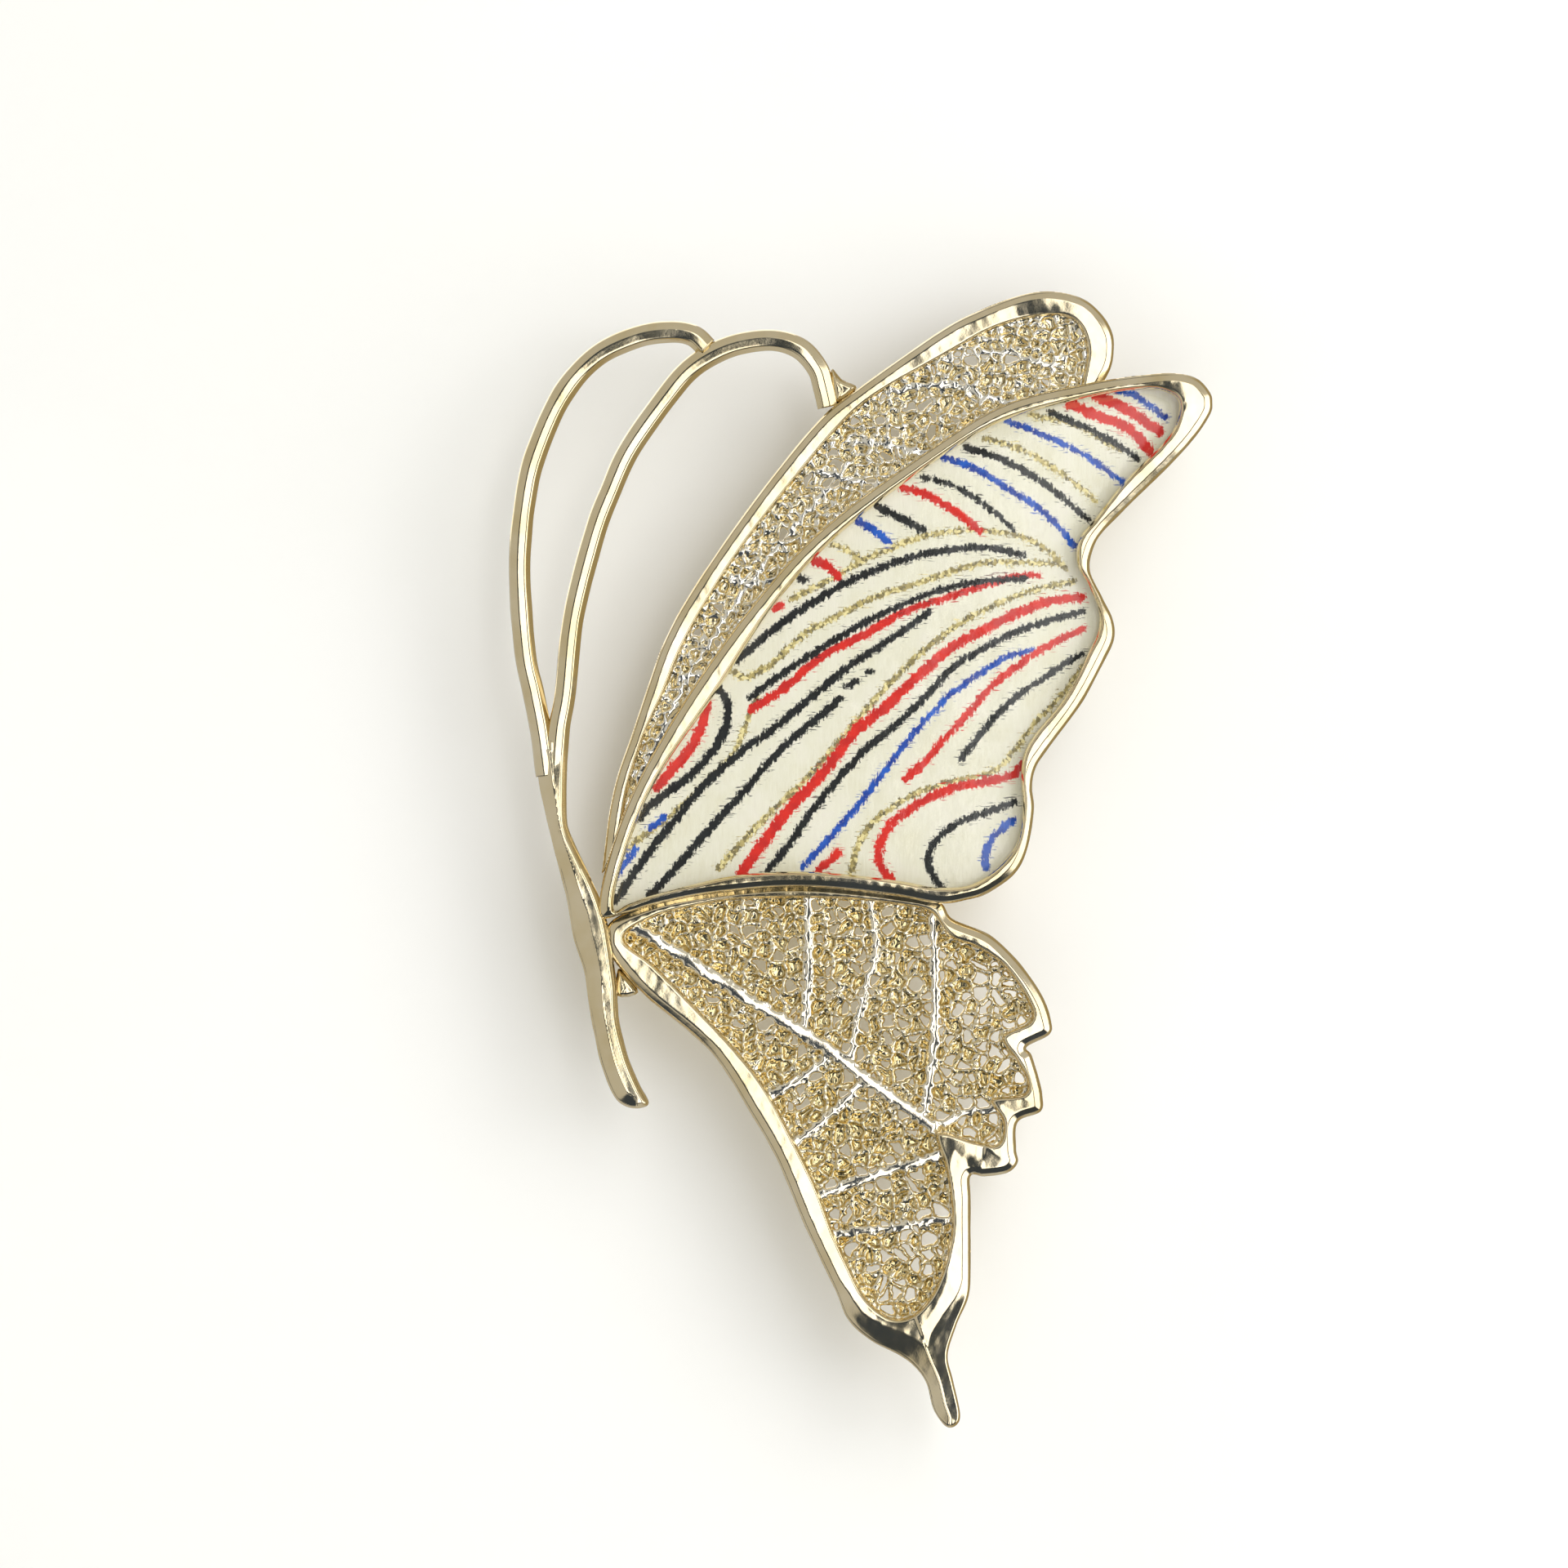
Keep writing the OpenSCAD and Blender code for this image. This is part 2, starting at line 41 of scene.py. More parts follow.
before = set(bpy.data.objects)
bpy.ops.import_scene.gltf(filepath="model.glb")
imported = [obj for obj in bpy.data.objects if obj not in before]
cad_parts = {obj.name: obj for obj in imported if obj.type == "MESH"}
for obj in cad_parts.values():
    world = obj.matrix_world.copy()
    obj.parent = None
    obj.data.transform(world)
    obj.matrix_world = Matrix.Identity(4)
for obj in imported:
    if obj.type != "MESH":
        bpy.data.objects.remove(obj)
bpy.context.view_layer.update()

# ---------------------------------------------------------------- sizes, in millimetres
# The plan runs right and up as the face is seen, and heights rise towards the viewer from the back plane.
MM = 0.001
REACH = 4.0            # farthest that an edge is felt across a rim
STEPS = 10             # points for each span of an outline

BEZEL_H, REAR_H, HIND_H, BODY_H = 2.2, 1.5, 1.7, 2.0
WIRE_R = 0.62
PLATE_T, CARD_T = 0.7, 0.3
DOME_TOP, DOME_AT = 2.3, (1.0, 1.0)
LACE_MID = 0.62
EDGE_ROUND = 0.14      # width of the quick round at a bevel's edge
LEAN, LEAN_REACH = 0.085, 0.5   # slope to the right of every flat top, and how far from its middle it goes on
PIN_Y = 2.7            # the pin's axis, behind the back plane
WIRE_STEP = 0.09       # between two rings of a wire
VEIN_STEP, VEIN_REACH = 0.3, 1.2   # spacing of a vein's points, and farthest that it is felt
FLOOR = 0.12           # depth of the thin floor that fills a closed cell of the lace
PEN_STEP, PEN_REACH = 0.25, 1.5    # spacing of a drawn line's points, and farthest that it is felt
DOME_FALL = 440        # the dome is lower by the square of the distance from its middle over this
INLAY_GAP = 0.04       # how far the card and the dome reach under the bezel

# ---------------------------------------------------------------- outlines, listed points
OUTER_WIRE = [(-18.25, -4.2), (-18.6, -1.6), (-19, 0.5), (-19.5, 3), (-19.8, 7.9), (-19.4, 12.1), (-18.7, 14.7),
              (-17.3, 17.7), (-15.4, 19.8), (-13.1, 20.9), (-11.2, 21.2), (-9.9, 21), (-9.1, 20.3)]
INNER_WIRE = [(-17.75, -4.4), (-17.55, -1.6), (-17.2, 0.5), (-16.7, 5), (-15.5, 9.7), (-14.6, 12.1), (-13.5, 14.5),
              (-11.4, 17.5), (-10, 19.1), (-8.4, 20.1), (-6.8, 20.6), (-5.1, 20.7), (-3.7, 20.2), (-2.75, 19.1),
              (-2.4, 18), (-2.15, 16.9)]
REAR_EDGE = [(-15.1, -9.8), (-14.7, -6.5), (-14.2, -4.2), (-13.4, -1.9), (-12.6, 0.5), (-11.6, 3.3), (-10.3, 5.8),
             (-8, 9.3), (-5.2, 13.1), (-2.6, 16.2), (-0.5, 17.9), (4.2, 21.2), (6.5, 22.4), (8.9, 23.3), (10.7, 23.5),
             (12.4, 23.1), (13.5, 22.2), (14.1, 21.1), (14.2, 20.1), (14, 19.1), (13.3, 17.8)]
REAR_INNER = [(-13.9, -7), (-13.5, -4.7), (-12.6, -1.9), (-11.5, 0.5), (-10.5, 3), (-9.1, 5.6), (-6.9, 9),
              (-4.1, 12.6), (-1.4, 15.8), (0.7, 17.6), (4.7, 19.9), (7, 21.2), (9.1, 21.9), (11, 22.1), (12, 21.7),
              (12.5, 20.8), (12.6, 19.6), (12.2, 17.6)]
UNDER_WING = [(9, 15), (0, 9), (-6, 2), (-11, -6)]
BEZEL_EDGE = [(-15.2, -12.1), (-14.7, -8.9), (-13.1, -4.7), (-10.1, 0.5), (-6.5, 5.5), (-2.6, 9.8), (3.3, 14.2),
              (7.9, 17), (12.6, 18.2), (15.9, 18.7), (17.7, 18.8), (18.9, 18.5), (19.6, 17.8), (19.8, 17.2),
              (19.6, 16.3), (18.2, 14.4), (15.3, 11.5), (13.7, 9.9), (13, 8.8), (12.8, 7.5), (13.5, 6), (14.1, 4.8),
              (14.2, 3.7), (13.7, 2.5), (12.3, -0.1), (10.3, -2.8), (9.7, -3.8), (9.5, -4.9), (9.6, -6.2),
              (9.2, -8.5), (8.4, -9.9), (7, -10.9), (5.8, -11.3), (4.2, -11.5), (1.9, -11.1), (-0.5, -10.8),
              (-2.8, -10.6), (-5.1, -10.6), (-7.5, -10.8), (-9.8, -11.1), (-12.1, -11.6), (-13.8, -12.1)]
INLAY_EDGE = [(-14.4, -11.8), (-13.9, -9.2), (-12.1, -4.7), (-8.6, 0.5), (-5.2, 5.6), (-1.3, 9.8), (4.3, 14),
              (7.9, 16.1), (12.6, 17.4), (15.9, 17.9), (17.3, 17.7), (17.9, 17.1), (17.7, 15.8), (16.8, 14.6),
              (14.7, 12.5), (13.2, 10.6), (12.2, 9.3), (12.1, 7.9), (12.7, 6.8), (13.3, 5.4), (13.3, 4.1),
              (12.7, 2.8), (11.4, 0.3), (9.5, -2.1), (8.9, -3.7), (9, -5.8), (8.7, -7.9), (7.6, -9.4), (6.1, -10.4),
              (4.2, -10.6), (1.9, -10.2), (-0.5, -9.9), (-2.8, -9.7), (-5.1, -9.7), (-7.5, -9.9), (-9.8, -10.4),
              (-12.1, -11), (-13.5, -11.5)]
HIND_EDGE = [(-14.9, -13.5), (-14.4, -12.4), (-12.1, -11.4), (-9.8, -10.9), (-7.5, -10.6), (-5.1, -10.4),
             (-2.8, -10.4), (-0.5, -10.6), (1.9, -10.9), (4.2, -11.4), (5, -12.4), (7.1, -13.3), (8.7, -14.8),
             (10, -16.6), (10.6, -18.2), (10.5, -19), (9.2, -19.7), (9.5, -20.2), (9.9, -21.5), (10.1, -22.5),
             (10, -23.4), (8.7, -24), (8.6, -25.5), (8.7, -26.3), (8.1, -26.9), (6.8, -27.1), (6, -27.1), (6, -28.5),
             (6, -32.1), (5.9, -33.9), (5.2, -35.6), (4.7, -37.3), (5, -38.8), (5.4, -40.6), (5.2, -41.3),
             (4.6, -41.4), (3.9, -40.5), (3.5, -39), (2.8, -38), (1.9, -37.3), (0.3, -36.5), (-1, -35.3),
             (-1.8, -33.5), (-3.5, -29.9), (-5.1, -26.1), (-6.7, -23.3), (-8.3, -20.7), (-9.8, -19.1), (-12.6, -16.8),
             (-14.5, -14.6)]
HIND_INNER = [(-13.8, -13.5), (-12.1, -12.3), (-9.8, -11.7), (-7.5, -11.3), (-5.1, -11.2), (-2.8, -11.2),
              (-0.5, -11.3), (1.9, -11.6), (3.7, -12), (4.8, -13.4), (6.3, -14), (7.9, -15.1), (9.2, -17),
              (9.4, -18.2), (7.8, -19.1), (8.6, -20.5), (9.2, -21.6), (9, -22.4), (7.2, -22.7), (7.8, -23.9),
              (7.8, -24.8), (7.4, -25.3), (6.3, -25.1), (4.1, -24.6), (4.5, -26.4), (4.8, -28), (4.9, -30.1),
              (4.4, -32.4), (3.6, -34.1), (2.5, -35.1), (1.3, -35.1), (0, -34), (-1, -32.1), (-1.9, -30.1),
              (-2.8, -27.7), (-4.1, -25), (-5.8, -21.9), (-7.7, -19.5), (-9.8, -17.3), (-12.1, -15)]
BODY_EDGE = [(-18.5, -2), (-19.05, -2.4), (-18.9, -3.3), (-18.6, -5.1), (-18.2, -6.9), (-17.7, -8.9), (-17.1, -11.2),
             (-16.7, -13.5), (-16.1, -15.4), (-15.8, -17.5), (-15.5, -19.1), (-15.1, -20.8), (-14.4, -22.5),
             (-13.7, -23.1), (-12.9, -23.2), (-12.4, -22.9), (-12.9, -21.9), (-13.5, -20.5), (-14.1, -18.2),
             (-14.2, -16.4), (-14.4, -14.9), (-14.6, -13.5), (-14.9, -12.1), (-15.5, -10.5), (-16.2, -9),
             (-16.9, -7.5), (-17.1, -6.5), (-17.1, -4.7), (-17.1, -2.4), (-17.6, -2)]
ANTENNA_WEB = [(-1.95, 19.1), (-1.35, 18.5), (-0.5, 18), (-1.55, 17.15), (-1.9, 17.7)]
STEM_WEB = [(-14.2, -15.3), (-13.8, -15.5), (-13, -16.6), (-14.2, -16.8)]

# Raised veins of the lace: path and half-width
HIND_VEINS = [([(-13.2, -12.9), (-11.6, -13.8), (-8.4, -15.9), (-2.8, -19.4), (0, -21.5), (3.9, -24.3)], 0.3),
              ([(-3.3, -11), (-3.3, -16), (-3.5, -18.9)], 0.2),
              ([(0.3, -11.5), (0.6, -14), (0.2, -15.7), (-0.4, -18), (-0.9, -20.7)], 0.16),
              ([(3.9, -12.3), (4, -17), (3.9, -19.9), (3.4, -23.3)], 0.22),
              ([(-5.6, -22.6), (-3.8, -21.6), (-2.2, -20.4)], 0.18),
              ([(-4, -25.2), (-1.8, -23.4), (-0.2, -21.8)], 0.18),
              ([(-2.9, -28.3), (0, -27.2), (4.2, -25.9)], 0.2),
              ([(-1.9, -30.4), (1, -30.1), (4.6, -29.6)], 0.16),
              ([(3.9, -24.3), (6.1, -23.4), (8.2, -23.2)], 0.16)]
REAR_VEINS = [([(-13, -4.5), (-10, 1.6), (-6, 7.6), (-1, 13.6)], 0.08),
              ([(-1, 14.9), (1.6, 14.7), (4.6, 13.9)], 0.1),
              ([(-2.6, 13.2), (-1, 12.7), (1, 12.4)], 0.1),
              ([(-7.6, 7), (-5.6, 6.9), (-4, 7.4)], 0.09),
              ([(-10.6, 1.4), (-8.6, 1.6), (-7.6, 2.4)], 0.09),
              ([(1.5, 17.8), (5, 18.2), (7, 17.4), (9.4, 17)], 0.1),
              ([(4.6, 19.6), (7.6, 20), (11, 19.2)], 0.09)]

# Drawn lines of the forewing's card: width, then the points that the pen went through
PEN_LINES = {
    "black": [
        (0.56, [(10.6, 16.6), (12.6, 15.7), (14.2, 14.9), (15.6, 13.9)]),
        (0.56, [(5.7, 14.6), (8, 13.8), (10.1, 12.6), (11.4, 11.6), (12.7, 10.5)]),
        (0.42, [(3.2, 12.9), (5, 12.4), (6.4, 11.6), (7.7, 10.6), (8.4, 9.9)]),
        (0.61, [(0.7, 11.2), (1.7, 10.7), (3.2, 9.9)]),
        (0.56, [(-3.7, 7.1), (-3.5, 7)]),
        (0.56, [(-7.4, 2.3), (-5.1, 4.3), (-1.9, 6.4), (0.6, 7.6), (3, 8.4), (5.5, 8.8), (7.3, 8.8), (9, 8.4)]),
        (0.51, [(-6.6, 0.3), (-5.4, 1.2), (-3, 2.8), (-0.7, 4.2), (1.7, 5.4), (4.2, 6.4), (6.5, 6.9), (9.2, 7.1)]),
        (0.56, [(-14.3, -11.3), (-12.4, -8.6), (-10.8, -6.6), (-9.4, -4.9), (-7.1, -2.8), (-5.4, -1.6), (-3.2, 0.2),
               (-1, 2), (0.8, 3.2), (2.3, 4.2), (3.6, 5.2)]),
        (0.56, [(-12.4, -11.1), (-10.6, -9.2), (-8.9, -7.2), (-7.3, -5.5), (-5.5, -3.4), (-4.2, -2.1), (-2.4, -0.6),
               (-1.5, 0.2)]),
        (0.47, [(-1.1, 0.9), (-0.5, 1.2)]),
        (0.42, [(0.1, 1.7), (0.3, 1.8)]),
        (0.56, [(-5.6, -9.6), (-4.5, -8.3), (-3.2, -6.4), (-1.4, -4.2), (0.2, -2.5), (1.7, -1.3), (3.4, 0.3), (5, 2),
               (6.6, 3), (8.3, 3.9), (10.2, 4.6), (12.4, 5.2)]),
        (0.56, [(5.5, -3.2), (6.6, -1.8), (8.1, -0.1), (9.8, 1.1), (11.1, 2), (12.4, 2.8)]),
        (0.56, [(8.6, -5.7), (7.1, -6.2), (5.5, -6.8), (4.2, -7.7), (3.6, -8.8), (3.8, -9.8), (4.4, -10.6)]),
        (0.61, [(-8.4, 0.8), (-7.9, -0.1), (-8, -1.4), (-8.6, -2.6), (-9.9, -4.1), (-11.4, -5.2), (-12.4, -6),
               (-12.9, -6.6)]),
    ],
    "red": [
        (0.98, [(13.2, 17.5), (14.6, 16.95), (15.8, 16.2), (16.8, 15.5)]),
        (0.98, [(11.8, 17.05), (13.2, 16.4), (14.6, 15.9), (15.4, 15.35), (16.2, 14.4)]),
        (0.61, [(2.1, 12.3), (3.4, 11.9), (4.7, 11.2), (5.7, 10.5), (6.5, 9.8)]),
        (0.65, [(-2.9, 8.1), (-2.2, 7.8), (-1.6, 7.2)]),
        (0.65, [(-5.1, 5.4), (-4.9, 5.5)]),
        (0.61, [(-6.5, -0.4), (-4.7, 0.8), (-2.4, 2.7), (0, 3.9), (2, 5.1), (5, 6.1), (7.7, 7), (9.8, 7.3)]),
        (0.79, [(-7.1, -9.8), (-4.7, -6.5), (-2.4, -4), (-0.7, -1.8), (1.3, -0.1), (3.2, 1.7), (5, 3.2), (7.1, 4.3),
               (8.9, 5.2), (10.6, 5.8), (12.4, 6)]),
        (0.61, [(2.3, -4.4), (3.4, -3.4), (4.5, -2.1), (5.9, -0.6), (7.1, 0.8), (8.7, 2.1), (10.4, 3.2),
               (12.4, 4.2)]),
        (0.7, [(8.9, -3.6), (8.3, -4.2), (6.5, -4.6), (4.7, -5), (2.9, -5.9), (1.4, -7), (0.8, -8.3), (0.8, -9.2),
               (1.4, -10.1)]),
        (0.61, [(-1.6, -8.6), (-2.1, -9.1), (-2.7, -9.6)]),
        (0.7, [(-9.1, -0.1), (-9.4, -1.4), (-10, -2.6), (-11.2, -4), (-12, -4.9)]),
    ],
    "blue": [
        (0.56, [(14.4, 17.8), (15.3, 17.6), (16.3, 16.9), (17.1, 16.3)]),
        (0.51, [(8.1, 16.1), (10.4, 15.2), (12.6, 14.1), (14.7, 12.6)]),
        (0.56, [(4.5, 14), (6.4, 13.3), (8, 12.3), (9.6, 11.3), (10.9, 10.2), (11.9, 8.9)]),
        (0.56, [(-0.4, 10.3), (0.4, 9.9), (1.3, 9.2)]),
        (0.47, [(-3.6, -9.4), (-2.1, -7.8), (-0.7, -6.2), (0.8, -4.3), (2.3, -2.3), (3.8, -0.6), (5.3, 0.8),
               (6.8, 1.8), (8.1, 2.6), (9.6, 3)]),
        (0.61, [(8.4, -6.7), (7.4, -7.6), (6.9, -8.5), (6.9, -9.5)]),
        (0.42, [(-11.5, -6.5), (-11.9, -6.9), (-12.4, -7.2)]),
        (0.42, [(-13.2, -8.4), (-13.6, -9), (-14.3, -9.9)]),
    ],
    "gold": [
        (0.47, [(9.4, 16.4), (11.3, 16.1), (12.9, 15.4), (14.5, 14.4)]),
        (0.47, [(6.8, 15.1), (8.8, 14.5), (10.4, 13.6), (12, 12.5), (13.2, 11.5)]),
        (0.42, [(-1.9, 9), (-1, 8.7), (-0.4, 8.2)]),
        (0.47, [(-4.3, 5.9), (-1.9, 7.1), (-0.4, 8), (1.4, 8.8), (3, 9.4), (5, 9.8), (7, 9.8), (8.8, 9.5),
               (10.4, 8.7), (11.4, 7.7)]),
        (0.47, [(-7.5, 1.8), (-6.9, 1.4), (-5.4, 2.2), (-3.5, 3.9), (-1.5, 5), (0.5, 6), (2.6, 6.7), (6.4, 7.9),
               (8.8, 8), (11.3, 7.9)]),
        (0.47, [(-8.4, -9.5), (-6.5, -7.4), (-5, -5.9), (-3.2, -4.2), (-1.4, -2.1), (0.4, 0), (2, 1.7), (4, 3.5),
               (5.9, 4.8), (7.7, 5.7), (9.5, 6.4), (11.9, 6.9)]),
        (0.47, [(12.4, 2), (11, 0.2), (9.5, -1.4), (8.4, -2.9), (7.2, -4), (4.7, -4.6), (2.9, -5.2), (1.4, -6.1),
               (0.2, -7.1), (-0.5, -8.3), (-0.8, -9.7)]),
        (0.42, [(-6.2, 0.4), (-6.6, -0.6), (-7.1, -1.9), (-7.7, -3.1), (-9.2, -4.6), (-10.6, -6), (-11.7, -6.9),
               (-12.9, -7.8), (-13.6, -8.4)]),
    ],
}


# ---------------------------------------------------------------- plan geometry
def smooth_path(points, closed=True, steps=STEPS):
    """A Catmull-Rom curve: between two points it is the cubic whose slope at each is half the way between the two
    neighbours of that point."""
    p = np.asarray(points, float)
    q = np.vstack([p[-1:], p, p[:2]]) if closed else np.vstack([p[:1], p, p[-1:]])
    spans = len(p) if closed else len(p) - 1
    t = (np.arange(steps) / steps)[None, :, None]
    a, b, c, d = (q[k:k + spans][:, None] for k in range(4))
    curve = 0.5 * (2 * b + (c - a) * t + (2 * a - 5 * b + 4 * c - d) * t ** 2 + (3 * b - 3 * c + d - a) * t ** 3)
    curve = curve.reshape(-1, p.shape[1])
    return curve if closed else np.vstack([curve, p[-1:]])


def even_path(points, spacing):
    """The open curve through points, sampled again at equal steps of its own length."""
    p = smooth_path(points, False, 24)
    run = np.concatenate([[0], np.cumsum(np.hypot(*np.diff(p, axis=0).T))])
    at = np.linspace(0, run[-1], max(4, int(run[-1] / spacing) + 1))
    return np.stack([np.interp(at, run, p[:, 0]), np.interp(at, run, p[:, 1])], 1)


class Sheet:
    """A square grid over part of the plan, with fields worked out on it."""

    def __init__(self, low, high, pitch):
        self.x = np.arange(low[0], high[0] + pitch, pitch)
        self.y = np.arange(low[1], high[1] + pitch, pitch)
        self.X, self.Y = np.meshgrid(self.x, self.y)

    def window(self, low, high):
        """The part of the grid between two corners, as slices of its rows and columns."""
        i0, i1 = np.searchsorted(self.x, [low[0], high[0]])
        j0, j1 = np.searchsorted(self.y, [low[1], high[1]])
        return slice(j0, j1), slice(i0, i1)

    def distance(self, path, reach=REACH, closed=True):
        """Distance to a path, up to reach: the least over its straight steps of the distance to that step."""
        far = np.full(self.X.shape, float(reach))
        for a, b in zip(path if closed else path[:-1], np.roll(path, -1, 0) if closed else path[1:]):
            w = self.window(np.minimum(a, b) - reach, np.maximum(a, b) + reach)
            if far[w].size:
                ux, uy = self.X[w] - a[0], self.Y[w] - a[1]
                d = b - a
                t = np.clip((ux * d[0] + uy * d[1]) / (d @ d + 1e-12), 0, 1)
                far[w] = np.minimum(far[w], np.hypot(ux - t * d[0], uy - t * d[1]))
        return far

    def within(self, path):
        """True inside a closed path: a row's points change sides each time the path crosses the row to their left."""
        odd = np.zeros(self.X.shape, bool)
        for a, b in zip(path, np.roll(path, -1, 0)):
            rows = slice(*np.searchsorted(self.y, sorted((a[1], b[1]))))
            if self.y[rows].size:
                cross = a[0] + (self.y[rows] - a[1]) * (b[0] - a[0]) / (b[1] - a[1])
                odd[rows] ^= self.X[rows] > cross[:, None]
        return odd

    def depth(self, path, reach=REACH):
        """Signed distance to a closed path, positive inside it."""
        far = self.distance(path, reach)
        return np.where(self.within(path), far, -far)


def ripple(x, y, size, seed, waves=7):
    """Smooth unevenness from -1 to 1: the mean of plane waves of about one length and random directions."""
    rng = np.random.default_rng(seed)
    total = 0
    for turn, phase, stretch in zip(rng.uniform(0, 2 * np.pi, waves), rng.uniform(0, 2 * np.pi, waves),
                                    rng.uniform(0.7, 1.5, waves)):
        k = 2 * np.pi / (size * stretch)
        total = total + np.sin(k * (np.cos(turn) * x + np.sin(turn) * y) + phase)
    return total / np.sqrt(2 * waves)


def soft_max(a, b, blend):
    """The greater of two fields, with the corner between them filled to a radius of about blend."""
    h = np.clip(0.5 + 0.5 * (a - b) / blend, 0, 1)
    return b + (a - b) * h + blend * h * (1 - h)


# Faces of one grid square for each pattern of corners inside: 0 to 3 are corners, 4 to 7 the cuts on its sides
TILES = {1: [(0, 4, 7)], 2: [(4, 1, 5)], 3: [(0, 1, 5, 7)], 4: [(5, 2, 6)], 5: [(0, 4, 7), (5, 2, 6)],
         6: [(4, 1, 2, 6)], 7: [(0, 1, 2, 6, 7)], 8: [(7, 6, 3)], 9: [(0, 4, 6, 3)], 10: [(4, 1, 5), (7, 6, 3)],
         11: [(0, 1, 5, 6, 3)], 12: [(7, 5, 2, 3)], 13: [(0, 4, 5, 2, 3)], 14: [(7, 4, 1, 2, 3)], 15: [(0, 1, 2, 3)]}


class Cut:
    """A sheet cut along the zero line of a field, which is kept where it is positive."""

    def __init__(self, sheet, solid):
        step = sheet.x[1] - sheet.x[0]
        sliver = 0.06 * step
        solid = np.where(np.abs(solid) < sliver, -sliver, solid)
        ny, nx = solid.shape
        ins = solid > 0
        corner = np.arange(ny * nx).reshape(ny, nx)
        across, up = ins[:, 1:] != ins[:, :-1], ins[1:] != ins[:-1]
        n = ny * nx
        cut_x = np.zeros(across.shape, int)
        cut_x[across] = n + np.arange(across.sum())
        cut_y = np.zeros(up.shape, int)
        cut_y[up] = n + across.sum() + np.arange(up.sum())
        flat = solid.ravel()
        first = np.concatenate([np.arange(n), corner[:, :-1][across], corner[:-1][up]])
        second = np.concatenate([np.arange(n), corner[:, 1:][across], corner[1:][up]])
        part = np.zeros(len(first))
        a, b = flat[first[n:]], flat[second[n:]]
        part[n:] = a / (a - b)
        case = ins[:-1, :-1] + 2 * ins[:-1, 1:] + 4 * ins[1:, 1:] + 8 * ins[1:, :-1]
        token = [corner[:-1, :-1], corner[:-1, 1:], corner[1:, 1:], corner[1:, :-1],
                 cut_x[:-1], cut_y[:, 1:], cut_x[1:], cut_y[:, :-1]]
        faces, edges = [], []
        for pattern, tiles in TILES.items():
            where = case == pattern
            for tile in tiles if where.any() else ():
                faces.append(np.stack([token[k][where] for k in tile], 1))
                for k, m in zip(tile, tile[1:] + tile[:1]):
                    if k > 3 and m > 3:
                        edges.append(np.stack([token[k][where], token[m][where]], 1))
        used = np.unique(np.concatenate([f.ravel() for f in faces]))
        new = np.zeros(len(first), int)
        new[used] = np.arange(len(used))
        self.faces = [new[f] for f in faces]
        self.edges = new[np.concatenate(edges)]
        self.first, self.second, self.part = first[used], second[used], part[used]
        self.border = used >= n
        self.x, self.y = self.pick(sheet.X), self.pick(sheet.Y)

    def pick(self, field):
        """A field's values at the kept points, straight between two grid points on a cut."""
        f = np.asarray(field, float).ravel()
        return f[self.first] * (1 - self.part) + f[self.second] * self.part


def make_mesh(name, points, polygons, fields=None):
    """A mesh object from plan points (right, up, height) in millimetres and lists of equal-sided faces."""
    points = np.asarray(points, float)
    loops = np.concatenate([p.ravel() for p in polygons])
    used, loops = np.unique(loops, return_inverse=True)
    sides = np.concatenate([np.full(len(p), p.shape[1]) for p in polygons])
    stood = np.stack([points[used, 0], -points[used, 2], points[used, 1]], 1) * MM
    mesh = bpy.data.meshes.new(name)
    mesh.vertices.add(len(used))
    mesh.vertices.foreach_set("co", stood.astype(np.float32).ravel())
    mesh.loops.add(len(loops))
    mesh.loops.foreach_set("vertex_index", loops.astype(np.int32))
    mesh.polygons.add(len(sides))
    mesh.polygons.foreach_set("loop_start", np.concatenate([[0], np.cumsum(sides)[:-1]]).astype(np.int32))
    mesh.update(calc_edges=True)
    mesh.validate()
    for label, values in (fields or {}).items():
        mesh.attributes.new(label, "FLOAT", "POINT").data.foreach_set(
            "value", np.asarray(values, np.float32)[used])
    mesh.shade_smooth()
    piece = bpy.data.objects.new(name, mesh)
    bpy.context.scene.collection.objects.link(piece)
    return piece


def cast_sheet(name, cut, top, bottom, fields=None):
    """A closed cast shape: a top and a bottom surface over one cut sheet, with walls between their borders."""
    n = len(cut.x)
    points = np.concatenate([np.stack([cut.x, cut.y, top], 1), np.stack([cut.x, cut.y, bottom], 1)])
    low = np.arange(n) + n
    thin = cut.border & (top - bottom < 1e-6)
    low[thin] = np.arange(n)[thin]
    polygons = list(cut.faces) + [low[f[:, ::-1]] for f in cut.faces]
    a, b = cut.edges.T
    walls = ~(thin[a] & thin[b])
    if walls.any():
        a, b = a[walls], b[walls]
        polygons.append(np.stack([b, a, low[a], low[b]], 1))
    both = {k: np.concatenate([v, v]) for k, v in (fields or {}).items()}
    return make_mesh(name, points, polygons, both)


def finish_piece(piece, material, slot, body, *nodes):
    """Gives a piece its finish and the body that carries it, and hides the CAD nodes that it stands for."""
    piece.data.materials.clear()
    piece.data.materials.append(material)
    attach(piece, body)
    if nodes:
        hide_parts(*nodes)
    return piece


# ---------------------------------------------------------------- cast shapes
def eased(run, blend):
    """A run that starts softly from zero: half its square over blend up to blend, then straight."""
    run = np.maximum(run, 0)
    return np.where(run < blend, run ** 2 / (2 * blend), run - blend / 2)


def bevel_drop(depth, width, slope):
    """How far a bevel lies below its top: an even slope from a soft corner, and a quick round at the very edge."""
    return slope * eased(width - depth, 0.06) + 1.3 * eased(EDGE_ROUND - depth, 0.06)


def back_round(depth, radius=0.2):
    """Height of the rounded back edge: a quarter circle of the given radius, then flat."""
    u = np.clip(1 - depth / radius, 0, 1)
    return radius * (1 - np.sqrt(1 - u ** 2))


